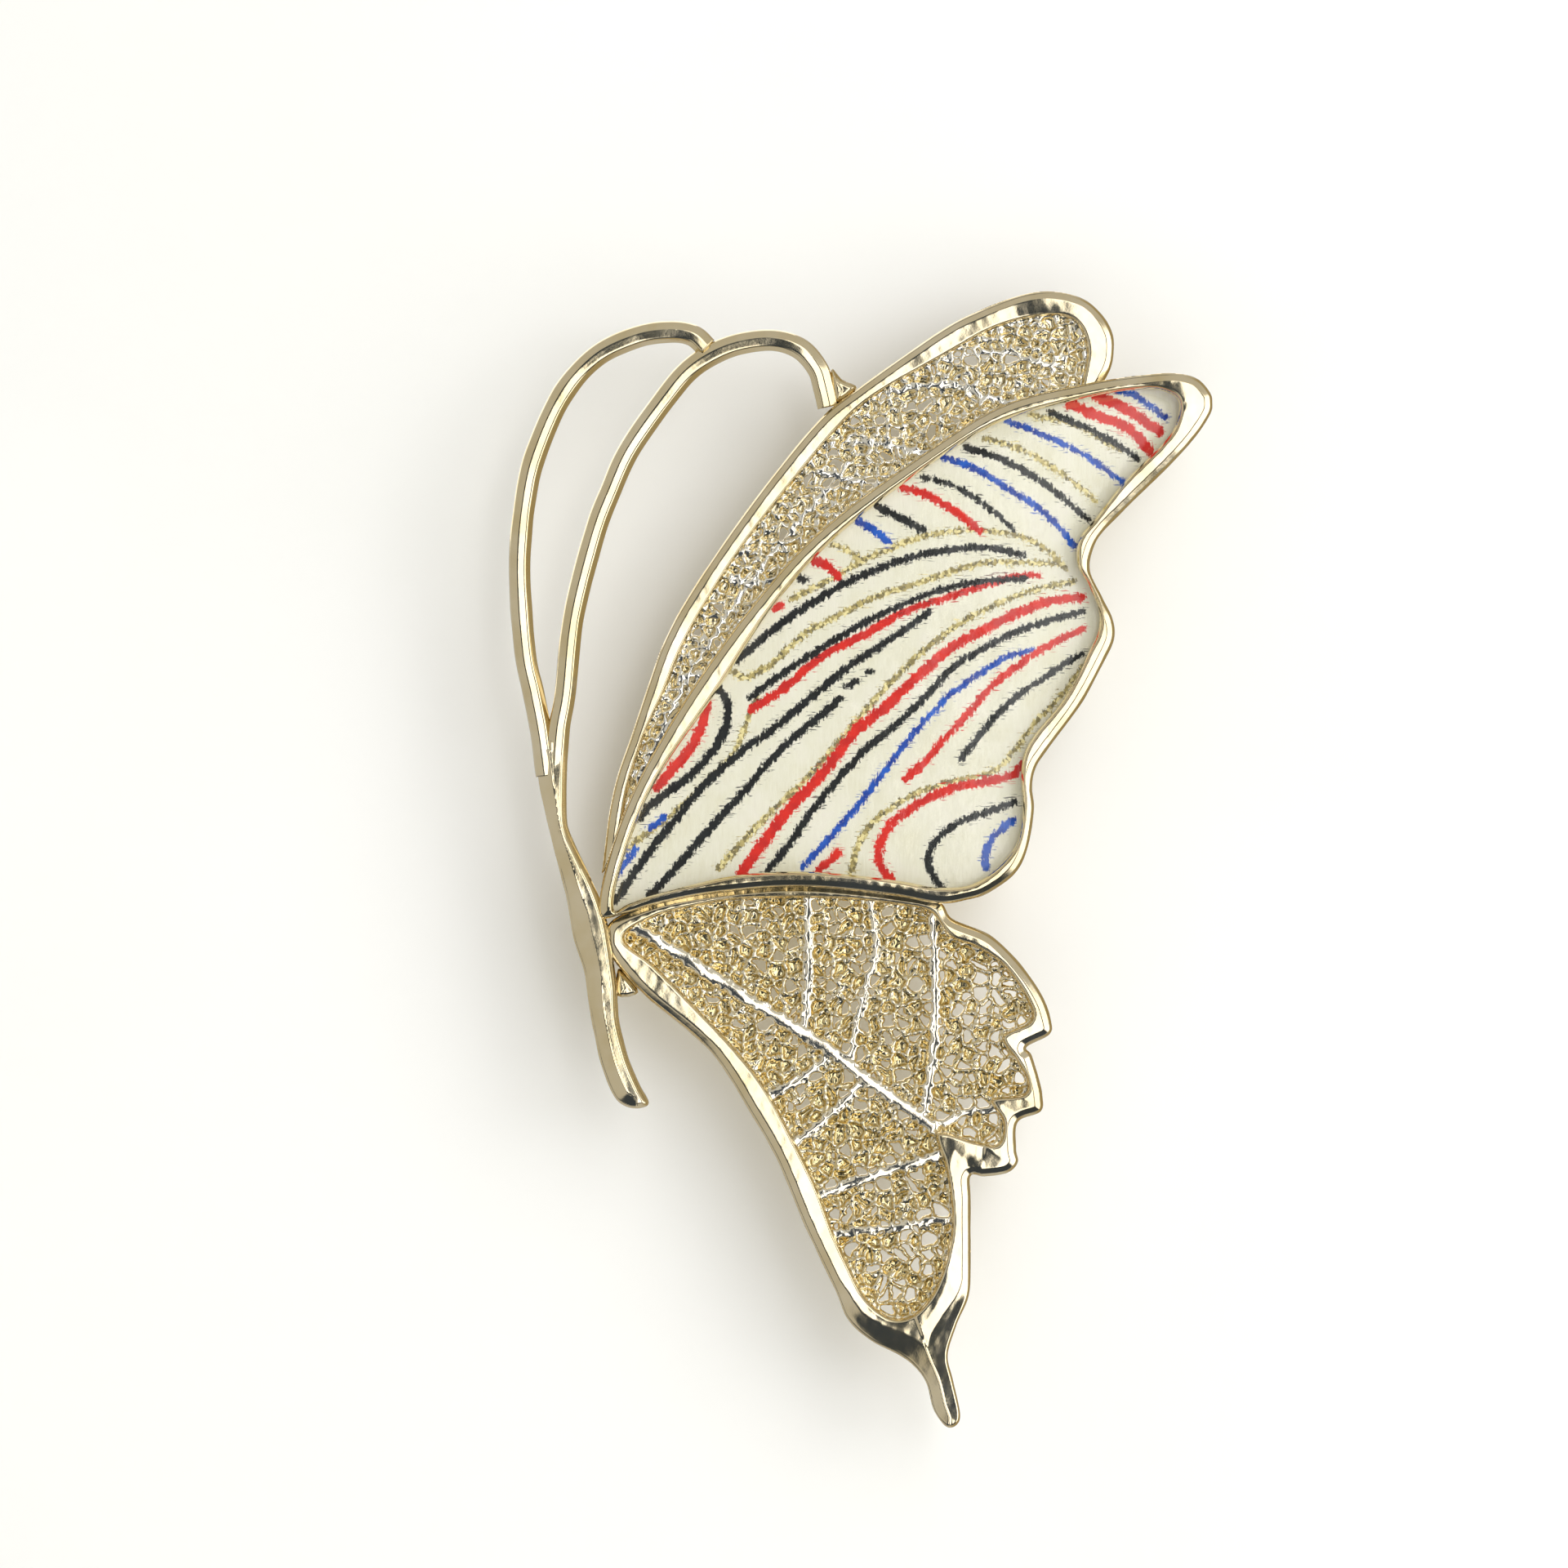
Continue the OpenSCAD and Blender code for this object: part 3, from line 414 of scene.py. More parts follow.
def cast_rim(name, low, high, outer, inner, height, bevel, seed, pitch=0.055, trim=None, inner_bevel=(0.2, 1.2)):
    """A cast rim: a wide bevel on its outside, a steep narrow one inside, and a top that leans a little to the right.

    The top falls by LEAN times the distance to the right of the rim's middle, which is half the difference of the two
    edge distances along the sideways part of the outer distance's slope, and a slanting stretch leans a little more.
    The bevel is a width and a slope, or a function of the place and of that sideways part.
    """
    sheet = Sheet(low, high, pitch)
    from_out = outer(sheet)
    from_in = inner(sheet) if inner else np.full(from_out.shape, REACH)
    solid = np.minimum(from_out, from_in)
    if trim:
        solid = np.minimum(solid, trim(sheet))
    solid = solid + 0.012 * ripple(sheet.X, sheet.Y, 2.2, seed) * (solid < 1.5)
    cut = Cut(sheet, solid)
    depth, d_out, d_in = (np.maximum(cut.pick(f), 0) for f in (solid, from_out, from_in))
    depth[cut.border] = 0
    sideways = cut.pick(np.gradient(from_out, pitch, axis=1))
    width, slope = bevel(cut.x, cut.y, sideways) if callable(bevel) else bevel
    middle = np.minimum(d_in, 2 * width + LEAN_REACH)
    turned = sideways / (sideways ** 2 + 0.3)
    lean = -LEAN * np.clip((d_out - middle) / 2, -LEAN_REACH, LEAN_REACH) * turned
    uneven = 0.012 * ripple(cut.x, cut.y, 3.2, seed + 1) + 0.003 * ripple(cut.x, cut.y, 0.8, seed + 2)
    height = height(cut.x, cut.y) if callable(height) else height
    top = height - bevel_drop(d_out, width, slope) - bevel_drop(d_in, *inner_bevel) + lean + uneven
    piece = cast_sheet(name, cut, top, back_round(depth))
    piece.modifiers.new("Even walls", "WEIGHTED_NORMAL").weight = 80
    return piece


def network(x, y, size, seed):
    """Cell borders of a scatter of seeds, one to each square of a side of size and moved by chance.

    Gives the distance to the nearest border, which is the difference of the squared distances to the two nearest
    seeds over twice the distance between those seeds, then how far the third seed is, the nearest cell's luck, and
    how far to the right of the nearest seed the point is.
    """
    table = np.random.default_rng(seed).random((4096, 3))
    gx, gy = np.floor(x / size).astype(int), np.floor(y / size).astype(int)
    near = [np.full(x.shape, 1e3) for _ in range(3)]
    spots = [np.zeros(x.shape) for _ in range(4)]
    luck = np.zeros(x.shape)
    for sx in range(-2, 3):
        for sy in range(-2, 3):
            pick = table[((gx + sx) * 157 + (gy + sy) * 911) & 4095]
            px = (gx + sx + 0.5 + 0.85 * (pick[..., 0] - 0.5)) * size
            py = (gy + sy + 0.5 + 0.85 * (pick[..., 1] - 0.5)) * size
            d = np.hypot(x - px, y - py)
            one, two = d < near[0], (d >= near[0]) & (d < near[1])
            near[2] = np.where(one | two, near[1], np.minimum(near[2], d))
            near[1] = np.where(one, near[0], np.where(two, d, near[1]))
            spots[2] = np.where(one, spots[0], np.where(two, px, spots[2]))
            spots[3] = np.where(one, spots[1], np.where(two, py, spots[3]))
            near[0] = np.where(one, d, near[0])
            spots[0], spots[1] = np.where(one, px, spots[0]), np.where(one, py, spots[1])
            luck = np.where(one, pick[..., 2], luck)
    apart = np.hypot(spots[0] - spots[2], spots[1] - spots[3]) + 1e-6
    return (near[1] ** 2 - near[0] ** 2) / (2 * apart), near[2] - near[0], luck, x - spots[0]


def lace(name, low, high, inside_of, veins, size, open_share, seed, pitch=0.075, lift=0.0, grain=0.34):
    """Cast openwork: round strands on the borders of a cell network, smoothly joined to raised veins.

    A strand's depth is its half-width less the distance to the cell border, and its height is a half circle of that
    depth. Some cells keep a thin dished floor instead of a hole. Pebbles, the cells of a finer network, stand on it
    all but on the veins, and each leans a little to the right of its own seed, as each vein's flat top does.
    """
    sheet = Sheet(low, high, pitch)
    X, Y = sheet.X, sheet.Y
    edge = inside_of(sheet)
    wx = X + 0.16 * ripple(X, Y, 1.5, seed) + 0.06 * ripple(X, Y, 0.6, seed + 1)
    wy = Y + 0.16 * ripple(X, Y, 1.5, seed + 2) + 0.06 * ripple(X, Y, 0.6, seed + 3)
    border, node, luck, _ = network(wx, wy, size, seed)
    half = 0.175 + 0.04 * ripple(X, Y, 1.1, seed + 4) + 0.1 * np.exp(-(node / 0.18) ** 2)
    strand = half - border
    veins = [(sheet.distance(even_path(path, VEIN_STEP), VEIN_REACH, False), width) for path, width in veins]
    for far, width in veins:
        strand = soft_max(strand, width + 0.05 * ripple(X, Y, 0.9, seed + 5) - far, 0.12)
    rim = 0.12 - edge
    strand = soft_max(strand, rim, 0.15)
    closed = luck > open_share(X, Y)
    solid = np.minimum(np.where(closed, np.maximum(strand, FLOOR), strand), edge + 0.35)
    cut = Cut(sheet, solid)
    depth = cut.pick(strand)
    depth[cut.border] = 0
    round_up = np.sqrt(1 - (1 - np.clip(depth / 0.17, 0, 1)) ** 2)
    dish = np.clip(-depth / 0.2, 0, 1)
    ridge, rough = np.zeros(len(cut.x)), np.ones(len(cut.x))
    for far, width in veins:
        away, right_of = cut.pick(far), cut.pick(np.gradient(far, pitch, axis=1))
        reach = width + 0.14
        bar = np.sqrt(np.clip(1 - (away / reach) ** 4, 0, 1)) * (0.1 + 1.1 * width - 0.2 * away * right_of)
        ridge = np.maximum(ridge, bar)
        rough = np.minimum(rough, np.clip(2.5 * away / reach - 1.5, 0, 1))
    gap, _, size_luck, right = network(cut.x + 0.05 * ripple(cut.x, cut.y, 0.5, seed + 6), cut.y, grain, seed + 7)
    inward = np.clip(gap / 0.11, 0, 1)
    pebble = (0.05 + 0.16 * size_luck) * np.sqrt(1 - (1 - inward) ** 2)
    pebble = (pebble - 0.16 * right * inward) * rough
    lumps = 0.1 * rough * np.exp(-(cut.pick(node) / 0.14) ** 2)
    top = LACE_MID + (0.16 + pebble + lumps) * round_up + (0.8 * pebble - 0.06) * dish + ridge
    top = top + 0.05 * ripple(cut.x, cut.y, 2.4, seed + 8) + lift
    bottom = LACE_MID + lift - 0.26 * round_up - 0.12 * dish - np.where(depth <= 0, 0.03, 0)
    top[cut.border] = bottom[cut.border] = LACE_MID + lift
    # Painted shade: this field deepens the lace's colour in the gaps between its pebbles and where its top sits low,
    # standing in for the shade in those recesses.
    hollow = rough * np.clip(0.8 * (1 - gap / 0.1), 0, 1) + 0.5 * np.clip(1 - (top - LACE_MID - lift) / 0.3, 0, 1)
    return cast_sheet(name, cut, top, np.minimum(bottom, top - 0.02 * ~cut.border), {"hollow": hollow})


def outward(points, polygons):
    """Turns every face round if the enclosed volume comes out negative. The volume is the sum over fans of triple
    products."""
    total = 0
    for p in polygons:
        for k in range(1, p.shape[1] - 1):
            a, b, c = points[p[:, 0]], points[p[:, k]], points[p[:, k + 1]]
            total += np.einsum("ij,ij->", a, np.cross(b, c))
    return polygons if total > 0 else [p[:, ::-1] for p in polygons]


def swept(rings, ends=()):
    """Points and faces of a closed shape through rings of points: each ring is joined to the next. The outer two are
    closed to the two end points, or joined to each other where none are given."""
    n, m = rings.shape[:2]
    at = np.arange(n * m).reshape(n, m)
    beside = np.roll(at, -1, 1)
    quads = np.stack([at, np.roll(at, -1, 0), np.roll(beside, -1, 0), beside], 2)
    if not len(ends):
        points = rings.reshape(-1, 3)
        return points, outward(points, [quads.reshape(-1, 4)])
    points = np.concatenate([rings.reshape(-1, 3), ends])
    caps = np.concatenate([np.stack([np.full(m, n * m), at[0], beside[0]], 1),
                           np.stack([np.full(m, n * m + 1), beside[-1], at[-1]], 1)])
    return points, outward(points, [quads[:-1].reshape(-1, 4), caps])


# A wire's profile, in parts of its radius: to the left of the path as it runs, and up from the wire's middle
WIRE_PROFILE = [(-0.62, 0.885), (-0.54, 0.955), (-0.45, 0.988), (-0.34, 1), (-0.1, 1), (0.1, 1), (0.2, 0.99),
                (0.32, 0.95), (0.8, 0.68), (0.87, 0.62), (0.98, 0.3), (1, 0), (0.9, -0.55), (0.5, -0.93),
                (-0.5, -0.93), (-0.9, -0.55), (-1, 0), (-0.98, 0.24), (-0.88, 0.46), (-0.82, 0.56)]


def drawn_wire(name, points, seed):
    """A cast wire: a profile with a flat top, a wide bevel on its left and a steep one on its right, carried along a
    path. Its top leans to the right, and its ends are closed to a point."""
    path = even_path(points, WIRE_STEP)
    ahead = np.gradient(path, axis=0)
    ahead /= np.hypot(*ahead.T)[:, None]
    side = np.stack([-ahead[:, 1], ahead[:, 0]], 1)[:, None]
    ring = smooth_path(WIRE_PROFILE, True, 3) * WIRE_R
    run = np.arange(len(path))[:, None] * WIRE_STEP
    swell = 1 + 0.025 * ripple(run, run * 0, 3.1, seed)
    tilt = 0.015 * ripple(run, run * 0, 4, seed + 2) - 0.1 * side[..., 0]
    u = ring[:, 0] * swell
    h = WIRE_R + ring[:, 1] * swell + 0.008 * ripple(run, run * 0, 2.6, seed + 1) + u * tilt
    rings = np.dstack([path[:, None] + side * u[..., None], h])
    return make_mesh(name, *swept(rings, [[*path[0], WIRE_R], [*path[-1], WIRE_R]]))


def turned_pin(name):
    """The pin: a radius that changes along its axis, turned round it and closed at the root and the point, and an eye,
    which is a rounded square profile turned round the hinge's axis so that the bore stays open."""
    low, high = (np.array(v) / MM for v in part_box("pin_stem"))
    hinge, tip = low[0] + 1, high[0]
    x = np.concatenate([np.linspace(hinge, hinge + 2, 14), np.linspace(hinge + 2.3, tip - 1.6, 26),
                        tip - 1.5 * (1 - np.sin(np.linspace(0, np.pi / 2, 14)))])
    r = np.interp(x, (hinge, hinge + 1.2, hinge + 2, tip - 4.3, tip - 1.5, tip - 0.8, tip - 0.15, tip),
                  (0.68, 0.6, 0.45, 0.45, 0.35, 0.24, 0.09, 0.03))[:, None]
    turn = np.linspace(0, 2 * np.pi, 33)[:-1]
    rings = np.broadcast_arrays(x[:, None], r * np.cos(turn), -PIN_Y + r * np.sin(turn))
    stem, faces = swept(np.stack(rings, 2), [[x[0], 0, -PIN_Y], [x[-1], 0, -PIN_Y]])
    out, up = np.array([(0.45, -0.62), (0.5, -0.65), (0.9, -0.65), (1, -0.55),
                        (1, 0.55), (0.9, 0.65), (0.5, 0.65), (0.45, 0.62)]).T
    turn = np.linspace(0, 2 * np.pi, 49)[:-1, None]
    rings = np.broadcast_arrays(hinge + out * np.cos(turn), up, -PIN_Y + out * np.sin(turn))
    eye, eye_faces = swept(np.stack(rings, 2))
    return make_mesh(name, np.concatenate([stem, eye]), faces + [f + len(stem) for f in eye_faces])


def eased_copy(node, width):
    """A copy of a CAD node's mesh, merged and with its flat faces joined, whose edges are rounded to width."""
    bm = bmesh.new()
    bm.from_mesh(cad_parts[node].data)
    bmesh.ops.remove_doubles(bm, verts=bm.verts, dist=2e-6)
    bmesh.ops.dissolve_limit(bm, angle_limit=np.radians(1), verts=bm.verts, edges=bm.edges)
    bmesh.ops.recalc_face_normals(bm, faces=bm.faces)
    mesh = bpy.data.meshes.new(node + "_eased")
    bm.to_mesh(mesh)
    bm.free()
    if "custom_normal" in mesh.attributes:
        mesh.attributes.remove(mesh.attributes["custom_normal"])
    piece = bpy.data.objects.new(node + "_eased", mesh)
    bpy.context.scene.collection.objects.link(piece)
    ease = piece.modifiers.new("Eased edges", "BEVEL")
    ease.width, ease.segments, ease.limit_method, ease.angle_limit = width * MM, 3, "ANGLE", np.radians(35)
    ease.harden_normals = False
    mesh.shade_smooth()
    piece.modifiers.new("Even shading", "WEIGHTED_NORMAL").keep_sharp = True
    return piece


# ---------------------------------------------------------------- materials
def linear(code):
    """A linear colour with full alpha from an sRGB hex code."""
    c = np.array([int(code[k:k + 2], 16) for k in (1, 3, 5)]) / 255
    return (*np.where(c <= 0.04045, c / 12.92, ((c + 0.055) / 1.055) ** 2.4), 1.0)


def add(tree, kind, settings=None, **links):
    """Adds a node. Settings go to its attributes, or to a ramp's stops as places and hex colours; values and sockets
    go to the inputs that they name, or to the input of a number after an i."""
    node = tree.nodes.new("ShaderNode" + kind)
    for key, value in (settings or {}).items():
        if key != "stops":
            setattr(node, key, value)
            continue
        bar = node.color_ramp.elements
        while len(bar) < len(value):
            bar.new(0.5)
        for stop, (place, code) in zip(bar, value):
            stop.position, stop.color = place, linear(code)
    for key, value in links.items():
        numbered = key[0] == "i" and key[1:].isdigit()
        spot = node.inputs[int(key[1:]) if numbered else key.replace("_", " ")]
        if isinstance(value, bpy.types.NodeSocket):
            tree.links.new(value, spot)
        else:
            spot.default_value = value
    return node


def new_material(name):
    """An empty material with its output node, and the object's own coordinates in millimetres."""
    material = bpy.data.materials.new(name)
    material.use_nodes = True
    tree = material.node_tree
    tree.nodes.clear()
    out = tree.nodes.new("ShaderNodeOutputMaterial")
    spot = add(tree, "TexCoord").outputs["Object"]
    place = add(tree, "Mapping", Vector=spot, Scale=(1000, 1000, 1000)).outputs[0]
    return material, tree, out, place


def gilt(name, pale, deep, rough, grain_mm=0.5, bump=0.006, shade_hollows=False):
    """Gold plate on cast brass: a pale champagne colour with a deeper tone that changes at random, and a soft polish
    that breaks up over a half-millimetre grain. Where asked, painted shade also deepens the colour in the lace's gaps
    and low places, from an attribute that the lace carries."""
    material, tree, out, place = new_material(name)
    broad = add(tree, "TexNoise", Vector=place, Scale=0.35, Detail=3.0, Roughness=0.55).outputs["Fac"]
    fine = add(tree, "TexNoise", Vector=place, Scale=1 / grain_mm, Detail=4.0, Roughness=0.6).outputs["Fac"]
    tone = broad
    if shade_hollows:
        # Painted shade: the lace's attribute deepens the colour in its hollows.
        painted_shade = add(tree, "Attribute", {"attribute_name": "hollow"}).outputs["Fac"]
        faint = add(tree, "Math", {"operation": "MULTIPLY"}, i0=broad, i1=0.45).outputs[0]
        tone = add(tree, "Math", {"operation": "MULTIPLY_ADD"}, i0=painted_shade, i1=0.75, i2=faint).outputs[0]
    colour = add(tree, "ValToRGB", {"stops": ((0.3, pale), (0.75, deep))}, Fac=tone).outputs[0]
    polish = add(tree, "MapRange", Value=fine, From_Min=0.3, From_Max=0.7,
                 To_Min=rough * 0.75, To_Max=rough * 1.35).outputs[0]
    height = add(tree, "Bump", Height=fine, Distance=bump * MM, Strength=1.0).outputs[0]
    shade = add(tree, "BsdfPrincipled", Base_Color=colour, Metallic=1.0, Roughness=polish, Normal=height)
    tree.links.new(shade.outputs[0], out.inputs[0])
    return material


def pin_steel():
    """Drawn spring steel with a thin nickel flash: cool grey, with faint lines along the wire."""
    material, tree, out, place = new_material("Drawn steel")
    drawn = add(tree, "Mapping", Vector=place, Scale=(0.15, 5, 5)).outputs[0]
    lines = add(tree, "TexNoise", Vector=drawn, Scale=2.0, Detail=3.0).outputs["Fac"]
    colour = add(tree, "ValToRGB", {"stops": ((0.3, "#c9cbce"), (0.7, "#a9adb2"))}, Fac=lines).outputs[0]
    polish = add(tree, "MapRange", Value=lines, From_Min=0.3, From_Max=0.7, To_Min=0.16, To_Max=0.3).outputs[0]
    height = add(tree, "Bump", Height=lines, Distance=0.004 * MM, Strength=1.0).outputs[0]
    shade = add(tree, "BsdfPrincipled", Base_Color=colour, Metallic=1.0, Roughness=polish, Normal=height)
    tree.links.new(shade.outputs[0], out.inputs[0])
    return material


def drawn_card():
    """Long-fibred cream paper with pen lines: the ink creeps along the fibres, so each edge is beaded and hairy, and
    the gold is a glitter ink whose flakes carry painted glints and painted shade as bright and dark matt colours."""
    material, tree, out, place = new_material("Drawn paper")
    cloud = add(tree, "TexNoise", Vector=place, Scale=0.5, Detail=4.0, Roughness=0.6).outputs["Fac"]
    ground = add(tree, "ValToRGB", {"stops": ((0.3, "#e0dccb"), (0.5, "#e6e3d8"), (0.7, "#ebe7e2"))},
                 Fac=cloud).outputs[0]
    slant = add(tree, "Mapping", Vector=place, Rotation=(0, 0.6, 0), Scale=(3.4, 1, 0.5)).outputs[0]
    hairs = add(tree, "TexNoise", Vector=slant, Scale=2.2, Detail=5.0, Roughness=0.75).outputs["Fac"]
    slant_2 = add(tree, "Mapping", Vector=place, Rotation=(0, -0.9, 0), Scale=(3.4, 1, 0.5)).outputs[0]
    hairs_2 = add(tree, "TexNoise", Vector=slant_2, Scale=2.0, Detail=5.0, Roughness=0.75).outputs["Fac"]
    felt = add(tree, "Math", {"operation": "MULTIPLY"}, i0=hairs, i1=hairs_2).outputs[0]
    shown = add(tree, "MapRange", Value=felt, From_Min=0.14, From_Max=0.36, To_Min=0.0, To_Max=0.5).outputs[0]
    paper = add(tree, "MixRGB", {"blend_type": "MIX"}, Fac=shown, Color1=ground, Color2=linear("#f4f3ec")).outputs[0]
    bead = add(tree, "TexNoise", Vector=place, Scale=4.2, Detail=3.0, Roughness=0.7).outputs["Fac"]
    beaded = add(tree, "Math", {"operation": "MULTIPLY_ADD"}, i0=bead, i1=0.6, i2=-0.3).outputs[0]
    whisker = add(tree, "Math", {"operation": "MULTIPLY_ADD"}, i0=hairs, i1=0.6, i2=-0.3).outputs[0]
    creep = add(tree, "Math", {"operation": "ADD"}, i0=beaded, i1=whisker).outputs[0]
    # Painted glints and shade: the gold ink's flakes get fixed bright and dark colours, standing for the glints and
    # shade of real glitter. The gold hue is the ink's own.
    flake = add(tree, "TexVoronoi", Vector=place, Scale=6.0).outputs["Color"]
    glint = add(tree, "SeparateColor", Color=flake).outputs[0]
    tint = add(tree, "TexNoise", Vector=place, Scale=1.2, Detail=3.0).outputs["Fac"]
    inks = {"gold": (glint, ((0, "#4f4523"), (0.35, "#8d7c3c"), (0.6, "#b5a25c"), (0.9, "#efe2a8"))),
            "blue": (tint, ((0.35, "#12389f"), (0.65, "#215fd0"))),
            "red": (tint, ((0.35, "#c81f1e"), (0.65, "#e0291f"))),
            "black": (tint, ((0.35, "#101115"), (0.7, "#212328")))}
    strays = add(tree, "Mapping", Vector=place, Rotation=(0, 0.75, 0), Scale=(1.1, 1, 9)).outputs[0]
    stray = add(tree, "TexNoise", Vector=strays, Scale=1.3, Detail=2.0, Roughness=0.6).outputs["Fac"]
    stray = add(tree, "MapRange", Value=stray, From_Min=0.62, From_Max=0.66, To_Min=0.0, To_Max=0.8).outputs[0]
    colour = paper
    for ink, (shift, stops) in inks.items():
        pigment = add(tree, "ValToRGB", {"stops": stops}, Fac=shift).outputs[0]
        away = add(tree, "Attribute", {"attribute_name": "ink_" + ink}).outputs["Fac"]
        edge = add(tree, "Math", {"operation": "ADD"}, i0=away, i1=creep).outputs[0]
        cover = add(tree, "MapRange", Value=edge, From_Min=0.04, From_Max=-0.03, To_Min=0.0,
                    To_Max=0.9 if ink == "gold" else 1.0).outputs[0]
        reach = add(tree, "MapRange", Value=away, From_Min=0.34, From_Max=0.22).outputs[0]
        fibres = add(tree, "Math", {"operation": "MULTIPLY"}, i0=reach, i1=stray).outputs[0]
        cover = add(tree, "Math", {"operation": "MAXIMUM"}, i0=cover, i1=fibres).outputs[0]
        colour = add(tree, "MixRGB", {"blend_type": "MIX"}, Fac=cover, Color1=colour, Color2=pigment).outputs[0]
    height = add(tree, "Bump", Height=felt, Distance=0.05 * MM, Strength=0.6).outputs[0]
    shade = add(tree, "BsdfPrincipled", Base_Color=colour, Roughness=0.6, Normal=height)
    tree.links.new(shade.outputs[0], out.inputs[0])
    return material


def clear_resin():
    """Poured clear epoxy: almost no colour, a slightly wavy skin, and a gloss that shows the light as a pale haze."""
    material, tree, out, place = new_material("Clear resin")
    wave = add(tree, "TexNoise", Vector=place, Scale=0.5, Detail=2.0).outputs["Fac"]
    pits = add(tree, "TexNoise", Vector=place, Scale=2.5, Detail=4.0, Roughness=0.7).outputs["Fac"]
    level = add(tree, "Math", {"operation": "MULTIPLY_ADD"}, i0=pits, i1=0.2, i2=wave).outputs[0]
    height = add(tree, "Bump", Height=level, Distance=0.05 * MM, Strength=1.0).outputs[0]
    clear = add(tree, "BsdfTransparent", Color=linear("#fefefb"))
    gloss = add(tree, "BsdfAnisotropic", Color=linear("#ffffff"), Roughness=0.06, Normal=height)
    skin = add(tree, "Fresnel", IOR=1.52, Normal=height).outputs[0]
    inner = add(tree, "NewGeometry").outputs["Backfacing"]
    outer = add(tree, "Math", {"operation": "SUBTRACT"}, i0=1.0, i1=inner).outputs[0]
    share = add(tree, "Math", {"operation": "MULTIPLY"}, i0=skin, i1=outer).outputs[0]
    shade = add(tree, "MixShader", i0=share, i1=clear.outputs[0], i2=gloss.outputs[0])
    tree.links.new(shade.outputs[0], out.inputs[0])
    return material


def backdrop_paper():
    """Matt white paper whose back is left open, so that the object's own back can be looked at through it."""
    material, tree, out, place = new_material("White paper")
    cloud = add(tree, "TexNoise", Vector=place, Scale=0.02, Detail=2.0).outputs["Fac"]
    colour = add(tree, "ValToRGB", {"stops": ((0.4, "#f4f4f1"), (0.6, "#f7f7f5"))}, Fac=cloud).outputs[0]
    paper = add(tree, "BsdfDiffuse", Color=colour)
    gap = add(tree, "BsdfTransparent", Color=(1, 1, 1, 1))
    behind = add(tree, "NewGeometry").outputs["Backfacing"]
    shade = add(tree, "MixShader", i0=behind, i1=paper.outputs[0], i2=gap.outputs[0])
    tree.links.new(shade.outputs[0], out.inputs[0])
    return material


class TONES:
    """Colours of the plate, as the eye has them, and the roughness of each polish."""
    pale, deep, polish = "#f1e3c3", "#e2cfa0", 0.12
    # The lace's deep colour serves both as its random darker tone and as the painted shade in its hollows.
    lace, lace_deep, lace_polish = "#fdf4dd", "#e6d19a", 0.13
    # Painted light: a lighter copy of the lace colours for the rear wing, standing in for the light that its low-lying
    # lace misses between the rims.
    bright, bright_deep = "#fffaec", "#f2e1b4"
    back = "#e6d4a4"


def finish_named(name):
    """A shared material, made the first time that it is asked for."""
    makers = {"Gilt cast": lambda: gilt("Gilt cast", TONES.pale, TONES.deep, TONES.polish),
              "Gilt lace": lambda: gilt("Gilt lace", TONES.lace, TONES.lace_deep, TONES.lace_polish, 0.3, 0.01, True),
              "Gilt lace painted lighter": lambda: gilt("Gilt lace painted lighter", TONES.bright, TONES.bright_deep,
                                               TONES.lace_polish, 0.3, 0.01, True),
              "Gilt back": lambda: gilt("Gilt back", TONES.deep, TONES.back, 0.3, 0.4, 0.02),
              "Drawn steel": pin_steel, "Drawn paper": drawn_card, "Clear resin": clear_resin,
              "White paper": backdrop_paper}
    return bpy.data.materials.get(name) or makers[name]()


# ---------------------------------------------------------------- settings
class BroochLook(bpy.types.PropertyGroup):
    """Sizes and lights that a user would change"""
    lace_cell: bpy.props.FloatProperty(
        name="Lace cell", description="Size of the lace's cells, in millimetres", default=0.78, min=0.5, max=2)
    key_power: bpy.props.FloatProperty(
        name="Key light", description="Power of the large softbox on the right, in watts", default=1.3, min=0,
        unit="POWER")
    sky: bpy.props.FloatProperty(
        name="Room light", description="Brightness of the pale room", default=0.62, min=0)
    view_width: bpy.props.FloatProperty(
        name="View width", description="Width that the camera sees at the face", default=0.08966,
        unit="LENGTH", subtype="DISTANCE")


# ---------------------------------------------------------------- operators
class BroochOperator:
    """What the brooch's operators have in common"""
    bl_options = {"REGISTER", "UNDO"}


